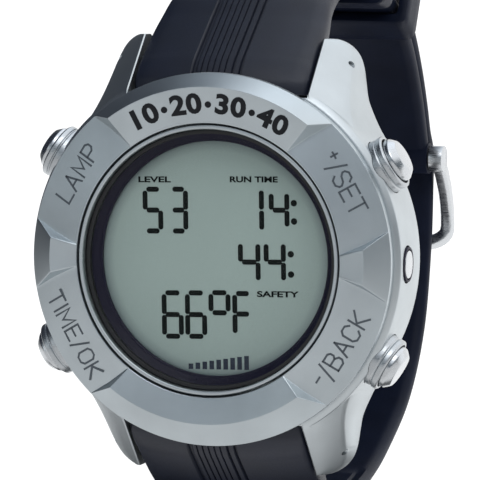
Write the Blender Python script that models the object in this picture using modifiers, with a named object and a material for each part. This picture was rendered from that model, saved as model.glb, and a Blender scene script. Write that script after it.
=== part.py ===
"""Dive computer: a wristwatch-style instrument on a closed rubber strap.

The watch is modelled lying on its case back with the face up: +X is 3 o'clock, +Y is 12 o'clock
and +Z is the viewing side, with z = 0 on the outer face of the case back.  The empty "upright"
then stands it up, so that the face looks along -Y and 12 o'clock points along +Z.
Lengths are in millimetres, and MM turns them into metres.
"""
import math

import bmesh
import bpy
from mathutils import Matrix, Vector
from mathutils.geometry import interpolate_bezier

MM = 0.001

# Case and bezel
CASE_R = 24.8
CASE_TOP = 12.0
CASE_BOTTOM = 1.3
CAVITY_R = 20.4
NECK_IN, NECK_OUT, NECK_TOP = 16.9, 17.3, 15.0
LEDGE_R, LEDGE_BOTTOM, LEDGE_TOP = 15.6, 10.2, 11.15
FLAT_Y = 22.3
BEZEL_IN, BEZEL_OUT = 17.6, 24.0
BEZEL_BOTTOM, BEZEL_RIM, BEZEL_LIP, RIDGE_TOP = 12.3, 13.65, 15.15, 16.0
RIDGE_R, RIDGE_R_TWELVE = 21.0, 22.3
TAB_START, TAB_END, WALL_LEAN = 11.0, 48.5, 4.7

# Lugs, spring bars and the strap
STRAP_HALF, BUCKLE_END_HALF, TAIL_HALF = 11.75, 10.3, 10.0
LUG_IN, LUG_TIP, LUG_BEND = 12.05, 28.3, 21.2
LUG_FRONT = (0.544, 0.597, 0.590)
BAR_Y, BAR_Z, BAR_R = 25.1, 4.2, 0.9
PIN_R, PIN_IN, PIN_OUT = 0.45, 9.0, 13.4

# Display stack
CRYSTAL_R, CRYSTAL_BOTTOM, CRYSTAL_TOP = 16.0, 13.0, 14.1
LCD_R, LCD_BOTTOM, LCD_TOP = 15.3, 10.0, 11.2
DISPLAY_R = 15.15

# Buttons: angles round the dial, and distances from the dial's axis
BUTTONS = {"plus": 30.0, "light": 150.0, "mode": 210.0, "minus": 330.0}
BUTTON_Z = 8.1
COLLAR_R, COLLAR_BORE, COLLAR_END = 3.6, 3.15, 26.3
CAP_R, CAP_UNDER, CAP_END = 2.95, 25.5, 28.3
STEM_R, STEM_END = 0.95, 19.9
POCKET_R, POCKET_FLOOR = 3.85, 21.8

# Water contact in the case side
CONTACT_Z, CONTACT_R = 8.4, 2.45

# Case back, screws and pressure port
BACK_R, BACK_THICK = 24.0, 1.0
SCREW_RING = 22.2
SCREW_ANGLES = (45.0, 135.0, 225.0, 315.0)
PORT_Y = -15.0
BATTERY_R = 12.25

# Strap: centre lines in the (y, z) plane, first and last point only steer the curve
UPPER_LINE = [(20.3, 9.6), (22.75, 7.5), (25.4, 4.65), (29.0, 0.5), (31.9, -3.2),
              (34.2, -10.0), (35.0, -19.5), (34.0, -29.6), (30.4, -39.7), (25.0, -46.8), (18.3, -52.1),
              (12.4, -55.4), (9.9, -56.5), (6.0, -58.5)]
LOWER_LINE = [(-20.3, 9.6), (-22.75, 7.5), (-25.4, 4.65), (-28.9, 0.5), (-31.5, -3.2),
              (-33.4, -10.0), (-33.9, -19.5), (-32.6, -29.2), (-29.9, -38.5), (-24.0, -49.8),
              (-15.1, -57.2), (-4.0, -60.2), (5.0, -60.7), (9.6, -60.6)]
SPAN_STEPS = 4
FIXED_KEEPER_SPAN, FREE_KEEPER_SPAN, TAIL_END_SPAN = 7.0, 5.75, 5.0
OVERLAP_GAP = 2.9
KEEPER_IN, KEEPER_OUT = 10.75, 12.1
ROOT_LAYER, LAYER, TAIL_LAYER = 4.4, 2.5, 2.3
ROOT_TOP, ROOT_UNDER, ROOT_LEAN = 10.4, 4.6, 1.3
CROWN = 1.2

# Buckle
HINGE_Y, HINGE_Z, HINGE_R = 9.2, -56.8, 0.8
EYE_R, EYE_END = 2.2, 10.4
ARM_X, ARM_R = 11.75, 0.8
BOSS_IN, BOSS_OUT = 10.95, 12.6
CROSS_Y, CROSS_Z = -3.4, -63.3
TONGUE_R = 0.7
SLOT_Y, SLOT_Z, SLOT_LONG, SLOT_WIDE = 7.4, -60.4, 5.2, 2.8
SLOT_PITCH = 8.0


def clear_scene():
    """Remove every object, so that only this model is in the file."""
    for obj in list(bpy.data.objects):
        bpy.data.objects.remove(obj, do_unlink=True)


def new_collection(name):
    """Make a collection in the scene."""
    group = bpy.data.collections.new(name)
    bpy.context.scene.collection.children.link(group)
    return group


clear_scene()
PARTS = new_collection("dive_computer")
CUTTERS = new_collection("cutters")


def empty(name, location=(0, 0, 0), matrix=None, parent=None):
    """Make an empty at a place given in millimetres."""
    obj = bpy.data.objects.new(name, None)
    obj.empty_display_size = 5 * MM
    PARTS.objects.link(obj)
    obj.parent = parent
    turn = matrix or Matrix.Identity(4)
    obj.matrix_local = Matrix.Translation(Vector(location) * MM) @ turn
    return obj


UPRIGHT = empty("upright", matrix=Matrix.Rotation(math.radians(90), 4, "X"))


def material(name, colour, roughness, metallic=0.0):
    """Make a plain Principled material."""
    mat = bpy.data.materials.new(name)
    mat.use_nodes = True
    shader = mat.node_tree.nodes["Principled BSDF"]
    shader.inputs["Base Color"].default_value = (*colour, 1.0)
    shader.inputs["Roughness"].default_value = roughness
    shader.inputs["Metallic"].default_value = metallic
    mat.diffuse_color = (*colour, 1.0)
    return mat


STEEL = ((0.55, 0.58, 0.60), 0.38, 1.0)
BRIGHT = ((0.68, 0.69, 0.70), 0.22, 1.0)
RUBBER = ((0.012, 0.014, 0.028), 0.5, 0.0)
SEAL = ((0.02, 0.02, 0.02), 0.6, 0.0)
BLACK = ((0.012, 0.008, 0.016), 0.2, 0.0)
PLASTIC = ((0.06, 0.06, 0.07), 0.5, 0.0)


def finish(name, mesh, look, parent=None, cutter=False):
    """Wrap a mesh in a named object, with its own material."""
    obj = bpy.data.objects.new(name, mesh)
    obj.parent = parent or UPRIGHT
    if cutter:
        CUTTERS.objects.link(obj)
        obj.hide_render = True
        obj.display_type = "WIRE"
        return obj
    PARTS.objects.link(obj)
    if not mesh.materials:
        mesh.materials.append(material(name, *look))
    return obj


def to_mesh(name, bm):
    """Turn a bmesh in millimetres into a smooth-shaded mesh in metres."""
    bmesh.ops.scale(bm, vec=(MM, MM, MM), verts=bm.verts)
    mesh = bpy.data.meshes.new(name)
    bm.to_mesh(mesh)
    bm.free()
    mesh.shade_smooth()
    if mesh.polygons:
        mesh.set_sharp_from_angle(angle=math.radians(30))
    return mesh


def turned(name, outline, look=STEEL, parent=None, steps=64, cutter=False):
    """Turn an (r, z) outline about local Z; an outline off the axis is closed into a ring."""
    bm = bmesh.new()
    verts = [bm.verts.new((r, 0, z)) for r, z in outline]
    ring = outline[0][0] > 0
    following = verts[1:] + (verts[:1] if ring else [])
    for start, end in zip(verts, following):
        bm.edges.new((start, end))
    obj = finish(name, to_mesh(name, bm), look, parent, cutter)
    screw = obj.modifiers.new("turn", "SCREW")
    screw.steps = steps
    screw.render_steps = steps
    screw.use_merge_vertices = True
    screw.merge_threshold = 0.000001
    return obj


def ring_outline(inner, outer, low, high):
    """Outline of a rectangular ring."""
    return [(inner, high), (outer, high), (outer, low), (inner, low)]


def disc_outline(radius, low, high, chamfer=0.0):
    """Outline of a disc on the axis, with chamfered edges."""
    if not chamfer:
        return [(0, high), (radius, high), (radius, low), (0, low)]
    return [(0, high), (radius - chamfer, high), (radius, high - chamfer),
            (radius, low + chamfer), (radius - chamfer, low), (0, low)]


def block(name, low, high, look=PLASTIC, parent=None, cutter=False):
    """Make a box between two corners."""
    bm = bmesh.new()
    bmesh.ops.create_cube(bm, size=1)
    low, high = Vector(low), Vector(high)
    bmesh.ops.scale(bm, vec=high - low, verts=bm.verts)
    bmesh.ops.translate(bm, vec=(low + high) / 2, verts=bm.verts)
    return finish(name, to_mesh(name, bm), look, parent, cutter)


def rod(name, radius, start, end, look=STEEL, parent=None, segments=32, cutter=False):
    """Make a cylinder from one point to another."""
    start, end = Vector(start), Vector(end)
    line = end - start
    turn = line.to_track_quat("Z", "Y").to_matrix().to_4x4()
    bm = bmesh.new()
    bmesh.ops.create_cone(bm, cap_ends=True, segments=segments, radius1=radius, radius2=radius,
                          depth=line.length, matrix=Matrix.Translation((start + end) / 2) @ turn)
    return finish(name, to_mesh(name, bm), look, parent, cutter)


def prism(name, outline, depth, axis, look=STEEL, cutter=True):
    """Extrude a flat outline from depth[0] to depth[1] along X or Z."""
    bm = bmesh.new()
    if axis == "Z":
        points = [(a, b, depth[0]) for a, b in outline]
        step = Vector((0, 0, depth[1] - depth[0]))
    else:
        points = [(depth[0], a, b) for a, b in outline]
        step = Vector((depth[1] - depth[0], 0, 0))
    face = bm.faces.new([bm.verts.new(p) for p in points])
    grown = bmesh.ops.extrude_face_region(bm, geom=[face], use_keep_orig=True)
    moved = [item for item in grown["geom"] if isinstance(item, bmesh.types.BMVert)]
    bmesh.ops.translate(bm, vec=step, verts=moved)
    bmesh.ops.recalc_face_normals(bm, faces=bm.faces)
    return finish(name, to_mesh(name, bm), look, None, cutter)


def torus(name, major, minor, look, parent=None, place=(0, 0, 0), steps=48):
    """Turn a round section into a ring about local Z."""
    count = 6
    angles = [-math.tau * i / count for i in range(count)]
    outline = [(major + minor * math.cos(a), place[2] + minor * math.sin(a)) for a in angles]
    obj = turned(name, outline, look, parent, steps)
    obj.location = Vector((place[0], place[1], 0)) * MM
    return obj


def boolean(obj, other, operation="DIFFERENCE"):
    """Cut, join or intersect an object with another one."""
    step = obj.modifiers.new(operation.lower(), "BOOLEAN")
    step.operation = operation
    step.solver = "EXACT"
    step.object = other
    return obj


def curve_mesh(name, points, radius, resolution=2):
    """Make a mesh tube with closed ends along a list of points in millimetres."""
    data = bpy.data.curves.new(name, "CURVE")
    data.dimensions = "3D"
    data.bevel_depth = radius * MM
    data.bevel_resolution = resolution
    data.use_fill_caps = True
    line = data.splines.new("POLY")
    line.points.add(len(points) - 1)
    for spot, point in zip(line.points, points):
        spot.co = (*(Vector(point) * MM), 1.0)
    line.use_smooth = True
    guide = bpy.data.objects.new(name + "_guide", data)
    CUTTERS.objects.link(guide)
    bpy.context.view_layer.update()
    mesh = bpy.data.meshes.new_from_object(guide.evaluated_get(bpy.context.evaluated_depsgraph_get()))
    bpy.data.objects.remove(guide, do_unlink=True)
    bm = bmesh.new()
    bm.from_mesh(mesh)
    bmesh.ops.remove_doubles(bm, verts=bm.verts, dist=0.000001)
    bmesh.ops.recalc_face_normals(bm, faces=bm.faces)
    bm.to_mesh(mesh)
    bm.free()
    mesh.name = name
    return mesh


def polar(radius, degrees, z):
    """A point at a radius and an angle about the dial's axis."""
    angle = math.radians(degrees)
    return Vector((radius * math.cos(angle), radius * math.sin(angle), z))


# ---------------------------------------------------------------- case

def lug(side, end):
    """One lug: a plan outline crossed with a side outline, under one sloping front plane."""
    name = "lug_%+d_%+d" % (side, end)
    plan = [(LUG_IN, 17.2), (LUG_IN, LUG_TIP), (13.9, LUG_TIP), (15.1, 27.8), (15.9, 27.0),
            (16.3, 25.8), (16.9, 22.6), (17.6, 20.2), (18.7, 17.8), (20.6, 13.9), (17.5, 12.5)]
    profile = [(10.0, 11.9), (LUG_BEND, 11.9), (LUG_TIP, 5.0), (LUG_TIP, 2.2), (27.3, 1.1),
               (23.5, 0.9), (21.8, 1.6), (10.0, 1.6)]
    body = prism(name, [(side * x, end * y) for x, y in plan], (0.5, CASE_TOP), "Z")
    across = prism(name + "_side", [(end * y, z) for y, z in profile],
                   (side * 11.0, side * 22.0), "X")
    boolean(body, across, "INTERSECT")
    front = block(name + "_front", (0, -15, -15), (9, 15, 15), cutter=True)
    normal = Vector((side * LUG_FRONT[0], end * LUG_FRONT[1], LUG_FRONT[2]))
    turn = normal.to_track_quat("X", "Z").to_matrix().to_4x4()
    corner = Vector((side * LUG_IN, end * LUG_BEND, CASE_TOP))
    front.matrix_local = Matrix.Translation(corner * MM) @ turn
    boolean(body, front)
    return body


def case_body():
    """Round case with its lugs, the display ledge, the neck and every bore."""
    outline = [(CASE_R - 0.7, CASE_TOP), (CASE_R, CASE_TOP - 0.6), (CASE_R, 2.3),
               (CASE_R - 0.9, CASE_BOTTOM), (CAVITY_R, CASE_BOTTOM), (CAVITY_R, LEDGE_BOTTOM),
               (LEDGE_R, LEDGE_BOTTOM), (LEDGE_R, LEDGE_TOP), (NECK_IN, LEDGE_TOP),
               (NECK_IN, NECK_TOP), (NECK_OUT, NECK_TOP), (NECK_OUT, CASE_TOP)]
    body = turned("case_body", outline, STEEL, steps=72)
    for end in (1, -1):
        flat = block("strap_space_%+d" % end, (-LUG_IN, min(end * FLAT_Y, end * 40), 0),
                     (LUG_IN, max(end * FLAT_Y, end * 40), CASE_TOP + 0.1), cutter=True)
        boolean(body, flat)
    for side in (1, -1):
        for end in (1, -1):
            boolean(body, lug(side, end), "UNION")
            hole = rod("bar_hole_%+d_%+d" % (side, end), 0.75, (side * 11.5, end * BAR_Y, BAR_Z),
                       (side * 19.5, end * BAR_Y, BAR_Z), segments=16, cutter=True)
            boolean(body, hole)
    for name, angle in BUTTONS.items():
        spots = [polar(r, angle, BUTTON_Z) for r in (POCKET_FLOOR, 27.5, 19.5)]
        boolean(body, rod("pocket_" + name, POCKET_R, spots[0], spots[1], cutter=True))
        boolean(body, rod("stem_bore_" + name, 1.25, spots[2], spots[1], cutter=True,
                          segments=16))
    boolean(body, rod("contact_bore", CONTACT_R, (23.1, 0, CONTACT_Z), (26, 0, CONTACT_Z),
                      cutter=True))
    boolean(body, rod("contact_pin_bore", 0.95, (19.5, 0, CONTACT_Z), (24, 0, CONTACT_Z),
                      segments=16, cutter=True))
    for number, angle in enumerate(SCREW_ANGLES, 1):
        boolean(body, rod("thread_%d" % number, 1.0, polar(SCREW_RING, angle, 0.5),
                          polar(SCREW_RING, angle, 4.8), segments=16, cutter=True))
    return body


def bezel():
    """Bezel ring: a ridge all round, interrupted by four sloping label tabs with leaning ends."""
    def section(angle, apex_angle, ridge_r, ridge_z):
        corners = [(BEZEL_IN, BEZEL_BOTTOM, angle), (BEZEL_IN, BEZEL_LIP, angle),
                   (ridge_r, ridge_z, apex_angle), (BEZEL_OUT, BEZEL_RIM, angle),
                   (BEZEL_OUT, BEZEL_BOTTOM, angle)]
        return [polar(r, a, z) for r, z, a in corners]

    def slope_height(radius):
        share = (radius - BEZEL_IN) / (BEZEL_OUT - BEZEL_IN)
        return BEZEL_LIP + share * (BEZEL_RIM - BEZEL_LIP)

    sections = []
    for quarter in range(4):
        flip = quarter % 2 == 1
        base = 90.0 * quarter
        near, far = (90.0 - TAB_END, 90.0 - TAB_START) if flip else (TAB_START, TAB_END)
        before, after = (RIDGE_R, RIDGE_R_TWELVE) if quarter == 0 else (RIDGE_R, RIDGE_R)
        if quarter == 1:
            before, after = RIDGE_R_TWELVE, RIDGE_R
        sections.append((near, near - WALL_LEAN, before, RIDGE_TOP, base))
        for i in range(10):
            angle = near + (far - near) * i / 9
            sections.append((angle, angle, RIDGE_R, slope_height(RIDGE_R), base))
        sections.append((far, far + WALL_LEAN, after, RIDGE_TOP, base))
        reach = 90.0 + (90.0 - TAB_END if not flip else TAB_START)
        count = 14 if not flip else 6
        for i in range(1, count):
            share = i / count
            plain = far + (reach - far) * share
            apex = far + WALL_LEAN + (reach - far - 2 * WALL_LEAN) * share
            sections.append((plain, apex, after, RIDGE_TOP, base))
    bm = bmesh.new()
    rings = []
    for angle, apex, ridge_r, ridge_z, base in sections:
        spots = section(base + angle, base + apex, ridge_r, ridge_z)
        rings.append([bm.verts.new(p) for p in spots])
    for ring, following in zip(rings, rings[1:] + rings[:1]):
        for i in range(len(ring)):
            j = (i + 1) % len(ring)
            bm.faces.new((ring[i], ring[j], following[j], following[i]))
    bmesh.ops.remove_doubles(bm, verts=bm.verts, dist=0.001)
    bmesh.ops.dissolve_degenerate(bm, edges=bm.edges, dist=0.001)
    bmesh.ops.recalc_face_normals(bm, faces=bm.faces)
    return finish("bezel", to_mesh("bezel", bm), STEEL)


def display():
    """Crystal, its gasket, the flange ring, the display and what lights and feeds it."""
    turned("crystal", disc_outline(CRYSTAL_R, CRYSTAL_BOTTOM, CRYSTAL_TOP, 0.25),
           ((0.9, 0.93, 0.93), 0.02), steps=48)
    turned("crystal_gasket", ring_outline(16.2, 16.7, CRYSTAL_BOTTOM, 13.9), SEAL, steps=48)
    flange = [(DISPLAY_R, 11.9), (15.3, 12.0), (16.6, 12.7), (16.6, 11.45), (DISPLAY_R, 11.45)]
    turned("dial_ring", flange, BLACK, steps=48)
    turned("lcd_panel", disc_outline(LCD_R, LCD_BOTTOM, LCD_TOP), ((0.27, 0.33, 0.30), 0.35),
           steps=48)
    light = turned("backlight_panel", disc_outline(14.8, 9.0, 9.7), ((0.85, 0.86, 0.82), 0.4))
    for end in (1, -1):
        edge = block("backlight_edge_%+d" % end, (-16, min(end * 11.4, end * 17), 8),
                     (16, max(end * 11.4, end * 17), 11), cutter=True)
        boolean(light, edge)
    for name, end in (("twelve", 1), ("six", -1)):
        low, high = sorted((end * 12.1, end * 13.4))
        block("zebra_strip_" + name, (-6, low, 7.0), (6, high, 9.7), ((0.75, 0.4, 0.45), 0.6))


def module():
    """Carrier frame, board, processor, battery and its clip."""
    outline = [(15.1, 9.7), (20.0, 9.7), (20.0, 3.7), (18.6, 3.7), (18.6, 8.2), (0, 8.2)]
    frame = turned("module_frame", [(0, 8.7), (15.1, 8.7)] + outline, PLASTIC, steps=48)
    for name, angle in BUTTONS.items():
        notch = block("notch_" + name, (18.4, -1.7, 6.8), (20.5, 1.7, 10.0), cutter=True)
        notch.matrix_local = Matrix.Rotation(math.radians(angle), 4, "Z")
        boolean(frame, notch)
    for end in (1, -1):
        low, high = sorted((end * 11.7, end * 13.8))
        boolean(frame, block("zebra_slot_%+d" % end, (-6.4, low, 8), (6.4, high, 9), cutter=True))
    board = turned("circuit_board", disc_outline(18.2, 5.9, 6.7), ((0.02, 0.18, 0.09), 0.4))
    boolean(board, rod("board_gap", 2.7, (0, PORT_Y, 5), (0, PORT_Y, 8), cutter=True))
    block("processor", (-9.0, -3.5, 7.0), (-2.0, 3.5, 7.9), ((0.02, 0.02, 0.025), 0.35))
    turned("battery", disc_outline(BATTERY_R, 2.3, 5.3, 0.3), BRIGHT, steps=36)
    clip = [(-13.1, 2.6), (-13.1, 5.4), (-12.9, 5.55), (12.9, 5.55), (13.1, 5.4), (13.1, 2.6)]
    bm = bmesh.new()
    rows = [[bm.verts.new((x, y, z)) for x, z in clip] for y in (-2.5, 2.5)]
    for i in range(len(clip) - 1):
        bm.faces.new((rows[0][i], rows[0][i + 1], rows[1][i + 1], rows[1][i]))
    strip = finish("battery_clip", to_mesh("battery_clip", bm), BRIGHT)
    thick = strip.modifiers.new("sheet", "SOLIDIFY")
    thick.thickness = 0.2 * MM
    thick.offset = 0.0


def back():
    """Case back with its plug, seal, screws, buzzer and pressure sensor."""
    outline = [(0, 1.0), (17.6, 1.0), (17.6, 3.4), (20.0, 3.4), (20.0, 2.85), (19.05, 2.85),
               (19.05, 1.65), (20.0, 1.65), (20.0, BACK_THICK), (BACK_R, BACK_THICK),
               (BACK_R, 0.3), (BACK_R - 0.3, 0), (0, 0)]
    plate = turned("case_back", outline, STEEL, steps=48)
    boolean(plate, rod("pressure_port", 0.6, (0, PORT_Y, -1), (0, PORT_Y, 2), segments=16,
                       cutter=True))
    torus("case_back_gasket", 19.75, 0.42, SEAL, place=(0, 0, 2.25), steps=32)
    profile = [(0, 4.2), (0.7, 4.2), (0.7, 0.75), (1.15, 0.75), (1.15, 0.3), (1.0, 0.12),
               (0, 0.12)]
    for number, angle in enumerate(SCREW_ANGLES, 1):
        spot = polar(SCREW_RING, angle, 0)
        seat = turned("screw_seat_%d" % number, [(0, 3), (1.0, 3), (1.0, 0.95),
                                                 (1.4, 0.95), (1.4, -1), (0, -1)], steps=24, cutter=True)
        seat.location = spot * MM
        boolean(plate, seat)
        screw = turned("case_back_screw_%d" % number, profile, BRIGHT, steps=24)
        screw.location = spot * MM
        slot = block("driver_slot_%d" % number, (-2, -0.18, -1), (2, 0.18, 0.4), cutter=True)
        slot.location = spot * MM
        boolean(screw, slot)
    turned("buzzer_disc", disc_outline(6.0, 1.3, 1.7), ((0.75, 0.6, 0.3), 0.35, 0.8), steps=48)
    torus("sensor_seal", 1.6, 0.38, SEAL, place=(0, PORT_Y, 1.7), steps=16)
    sensor = turned("pressure_sensor", disc_outline(2.25, 2.4, 5.4, 0.25), BRIGHT, steps=32)
    sensor.location = Vector((0, PORT_Y, 0)) * MM


def contact():
    """Water contact stud in its insulating ring, in the case side at 3 o'clock."""
    outward = Matrix.Rotation(math.radians(90), 4, "Y")
    seat = empty("contact_seat", (0, 0, CONTACT_Z), outward, UPRIGHT)
    stud = [(0, 25.0), (1.65, 25.0), (1.8, 24.85), (1.8, 23.4), (0.6, 23.4), (0.6, 20.8),
            (0, 20.8)]
    turned("contact_stud", stud, BRIGHT, seat, steps=32)
    turned("contact_ring", ring_outline(1.95, 2.25, 23.4, 24.95), SEAL, seat, steps=32)


# ---------------------------------------------------------------- buttons

def spring_points(radius, low, high, turns):
    """Points of a compression spring along Z, nine to a turn."""
    count = int(turns * 9)
    return [(radius * math.cos(math.tau * i / 9), radius * math.sin(math.tau * i / 9),
             low + (high - low) * i / count) for i in range(count + 1)]


def button(name, angle):
    """A push button on its own axis: local Z points out of the case side."""
    out = Matrix.Rotation(math.radians(angle), 4, "Z") @ Matrix.Rotation(math.radians(90), 4, "Y")
    axis = empty("button_axis_" + name, (0, 0, BUTTON_Z), out, UPRIGHT)
    collar = [(COLLAR_BORE, COLLAR_END), (COLLAR_R - 0.15, COLLAR_END),
              (COLLAR_R, COLLAR_END - 0.15), (COLLAR_R, POCKET_FLOOR + 0.3),
              (COLLAR_BORE, POCKET_FLOOR + 0.3)]
    turned("button_collar_" + name, collar, BRIGHT, axis, steps=24)
    cap = [(0, CAP_END), (2.05, CAP_END), (CAP_R, CAP_END - 0.8), (CAP_R, CAP_UNDER),
           (STEM_R, CAP_UNDER), (STEM_R, STEM_END), (0, STEM_END)]
    turned("button_cap_" + name, cap, BRIGHT, axis, steps=24)
    torus("button_oring_" + name, 1.5, 0.3, SEAL, axis, place=(0, 0, 22.5), steps=12)
    coil = curve_mesh("button_spring_" + name, spring_points(1.95, 23.3, 25.0, 3), 0.2, 1)
    finish("button_spring_" + name, coil, BRIGHT, axis)


# ---------------------------------------------------------------- strap

def smooth_line(knots, steps=SPAN_STEPS):
    """Points of a smooth curve through the knots; the first and last knot only steer it."""
    spots = [Vector((0, y, z)) for y, z in knots]
    line = [spots[1]]
    for before, start, end, after in zip(spots, spots[1:], spots[2:], spots[3:]):
        pull_start = start + (end - before) / 6
        pull_end = end - (after - start) / 6
        line += interpolate_bezier(start, pull_start, pull_end, end, steps + 1)[1:]
    return line


def frames(line):
    """Tangent and outward normal at each point of a line in the (y, z) plane."""
    middle = Vector((0, 0, -28))
    result = []
    for i, spot in enumerate(line):
        ahead = line[min(i + 1, len(line) - 1)]
        behind = line[max(i - 1, 0)]
        tangent = (ahead - behind).normalized()
        normal = Vector((0, -tangent.z, tangent.y))
        if normal.dot(spot - middle) < 0:
            normal = -normal
        result.append((spot, tangent, normal))
    return result


def band_frames(line, thickness):
    """Middle, half thickness and thickness direction at each point; the first stands upright."""
    last = len(line) - 1
    data = [(spot, thickness(i / last) / 2, normal)
            for i, (spot, _, normal) in enumerate(frames(line))]
    upright = Vector((0, 0, 1))
    root = Vector((0, line[0].y, (ROOT_TOP + ROOT_UNDER) / 2))
    data[0] = (root, (ROOT_TOP - ROOT_UNDER) / 2, upright)
    spot, half, normal = data[1]
    data[1] = (spot, half, (normal + upright * ROOT_LEAN).normalized())
    return data


def band(name, line, half_width, thickness, crown):
    """Loft a strap along a line; its width, thickness and crown follow the share of length."""
    bm = bmesh.new()
    rings = []
    last = len(line) - 1
    for i, (spot, h, normal) in enumerate(band_frames(line, thickness)):
        w, rise = half_width(i / last), crown(i / last)
        c = min(0.5, h * 0.6)
        section = [(c - w, h), (-w / 2, h + rise * 0.75), (0, h + rise), (w / 2, h + rise * 0.75),
                   (w - c, h), (w, h - c), (w, c - h), (w - c, -h), (c - w, -h), (-w, c - h),
                   (-w, h - c)]
        rings.append([bm.verts.new(spot + normal * up + Vector((x, 0, 0))) for x, up in section])
    count = len(rings[0])
    for ring, following in zip(rings, rings[1:]):
        for i in range(count):
            j = (i + 1) % count
            bm.faces.new((ring[i], ring[j], following[j], following[i]))
    bm.faces.new(rings[0])
    bm.faces.new(reversed(rings[-1]))
    bmesh.ops.recalc_face_normals(bm, faces=bm.faces)
    return finish(name, to_mesh(name, bm), RUBBER)


def ease(share, start, end, low, high):
    """Blend from start to end as the share goes from low to high."""
    t = min(max((share - low) / (high - low), 0), 1)
    return start + (end - start) * t * t * (3 - 2 * t)


def upper_line():
    """Centre line of the 12 o'clock strap half, from the lugs to the buckle."""
    return smooth_line(UPPER_LINE)


def lower_line():
    """Centre line of the 6 o'clock half: it ends lying on the outside of the upper half."""
    upper = frames(upper_line())
    first, last = round(TAIL_END_SPAN * SPAN_STEPS), 11 * SPAN_STEPS
    overlap = [spot + normal * OVERLAP_GAP for spot, _, normal in upper[first:last:3]]
    over_knots = [(p.y, p.z) for p in reversed(overlap)]
    return smooth_line(LOWER_LINE + over_knots)


def strap_halves():
    """The two rubber halves, their spring bar holes, the buckle eye and the adjusting slots."""
    upper = band("strap_upper", upper_line(), lambda s: ease(s, STRAP_HALF, BUCKLE_END_HALF, 0.1, 0.45),
                 lambda s: ease(s, ROOT_LAYER, LAYER, 0.0, 0.25),
                 lambda s: ease(s, CROWN, 0.0, 0.2, 0.5))
    eye = rod("hinge_eye", EYE_R, (-EYE_END, HINGE_Y, HINGE_Z), (EYE_END, HINGE_Y, HINGE_Z),
              cutter=True, segments=24)
    boolean(upper, eye, "UNION")
    boolean(upper, rod("hinge_hole", 1.1, (-14, HINGE_Y, HINGE_Z), (14, HINGE_Y, HINGE_Z),
                       cutter=True, segments=16))
    boolean(upper, block("tongue_gap", (-1.6, HINGE_Y - 3.4, HINGE_Z - 3.4),
                         (1.6, HINGE_Y + 2.6, HINGE_Z + 2.6), cutter=True))
    line = lower_line()
    lower = band("strap_lower", line, lambda s: ease(s, STRAP_HALF, TAIL_HALF, 0.1, 0.4),
                 lambda s: ease(s, ROOT_LAYER, TAIL_LAYER, 0.0, 0.2),
                 lambda s: ease(s, CROWN, 0.0, 0.12, 0.3))
    for end, half in ((1, upper), (-1, lower)):
        hole = rod("strap_bar_hole_%+d" % end, 1.2, (-14, end * BAR_Y, BAR_Z),
                   (14, end * BAR_Y, BAR_Z), cutter=True, segments=20)
        boolean(half, hole)
    for number, (spot, tangent, normal) in enumerate(slot_places(line), 1):
        slot = block("slot_%d" % number, (-SLOT_WIDE / 2, -SLOT_LONG / 2, -3),
                     (SLOT_WIDE / 2, SLOT_LONG / 2, 3), cutter=True)
        slot.matrix_local = place_matrix(spot, tangent, normal)
        boolean(lower, slot)
    tip = rod("tail_tip_round", TAIL_HALF, (0, 0, -4), (0, 0, 4), cutter=True, segments=48)
    shape_tail_tip(lower, tip, line)


def place_matrix(spot, tangent, normal):
    """Stand a piece on the strap: its Y runs along the strap and its Z points out of the loop."""
    side = tangent.cross(normal)
    turn = Matrix((side, tangent, normal)).transposed().to_4x4()
    return Matrix.Translation(spot * MM) @ turn


def slot_places(line):
    """The slot that the tongue stands in, and its neighbours up and down the tail."""
    nearest = min(range(len(line)), key=lambda i: abs(line[i].y - SLOT_Y) + abs(line[i].z - SLOT_Z))
    data = frames(line)
    places = [data[nearest]]
    for direction in (-1, 1):
        travelled, i, made = 0.0, nearest, 0
        while made < 3 and 1 < i < len(line) - 2:
            travelled += (line[i + direction] - line[i]).length
            i += direction
            if travelled >= SLOT_PITCH:
                places.append(data[i])
                travelled = 0.0
                made += 1
    return places


def shape_tail_tip(lower, tip, line):
    """Round the tail's tip off: everything past the round is cut away."""
    spot, tangent, normal = frames(line)[-1]
    frame = block("tail_tip_cut", (-14, -7.0, -5), (14, 8, 5), cutter=True)
    frame.matrix_local = place_matrix(spot, tangent, normal)
    tip.matrix_local = place_matrix(spot - tangent * (TAIL_HALF + 0.2), tangent, normal)
    boolean(frame, tip)
    boolean(lower, frame)


def keeper(name, span, length):
    """A rubber loop round both layers of the strap."""
    spot, tangent, normal = frames(upper_line())[round(span * SPAN_STEPS)]
    centre = spot + normal * (OVERLAP_GAP / 2)
    wide, narrow = KEEPER_OUT, KEEPER_IN
    shell = block(name, (-wide, -length / 2, -4.4), (wide, length / 2, 4.4), RUBBER)
    hole = block(name + "_hole", (-narrow, -length, -3.05), (narrow, length, 3.05), cutter=True)
    for obj in (shell, hole):
        obj.matrix_local = place_matrix(centre, tangent, normal)
    edge = shell.modifiers.new("round", "BEVEL")
    edge.width = 0.9 * MM
    edge.segments = 3
    boolean(shell, hole)


# ---------------------------------------------------------------- buckle and bars

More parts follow.
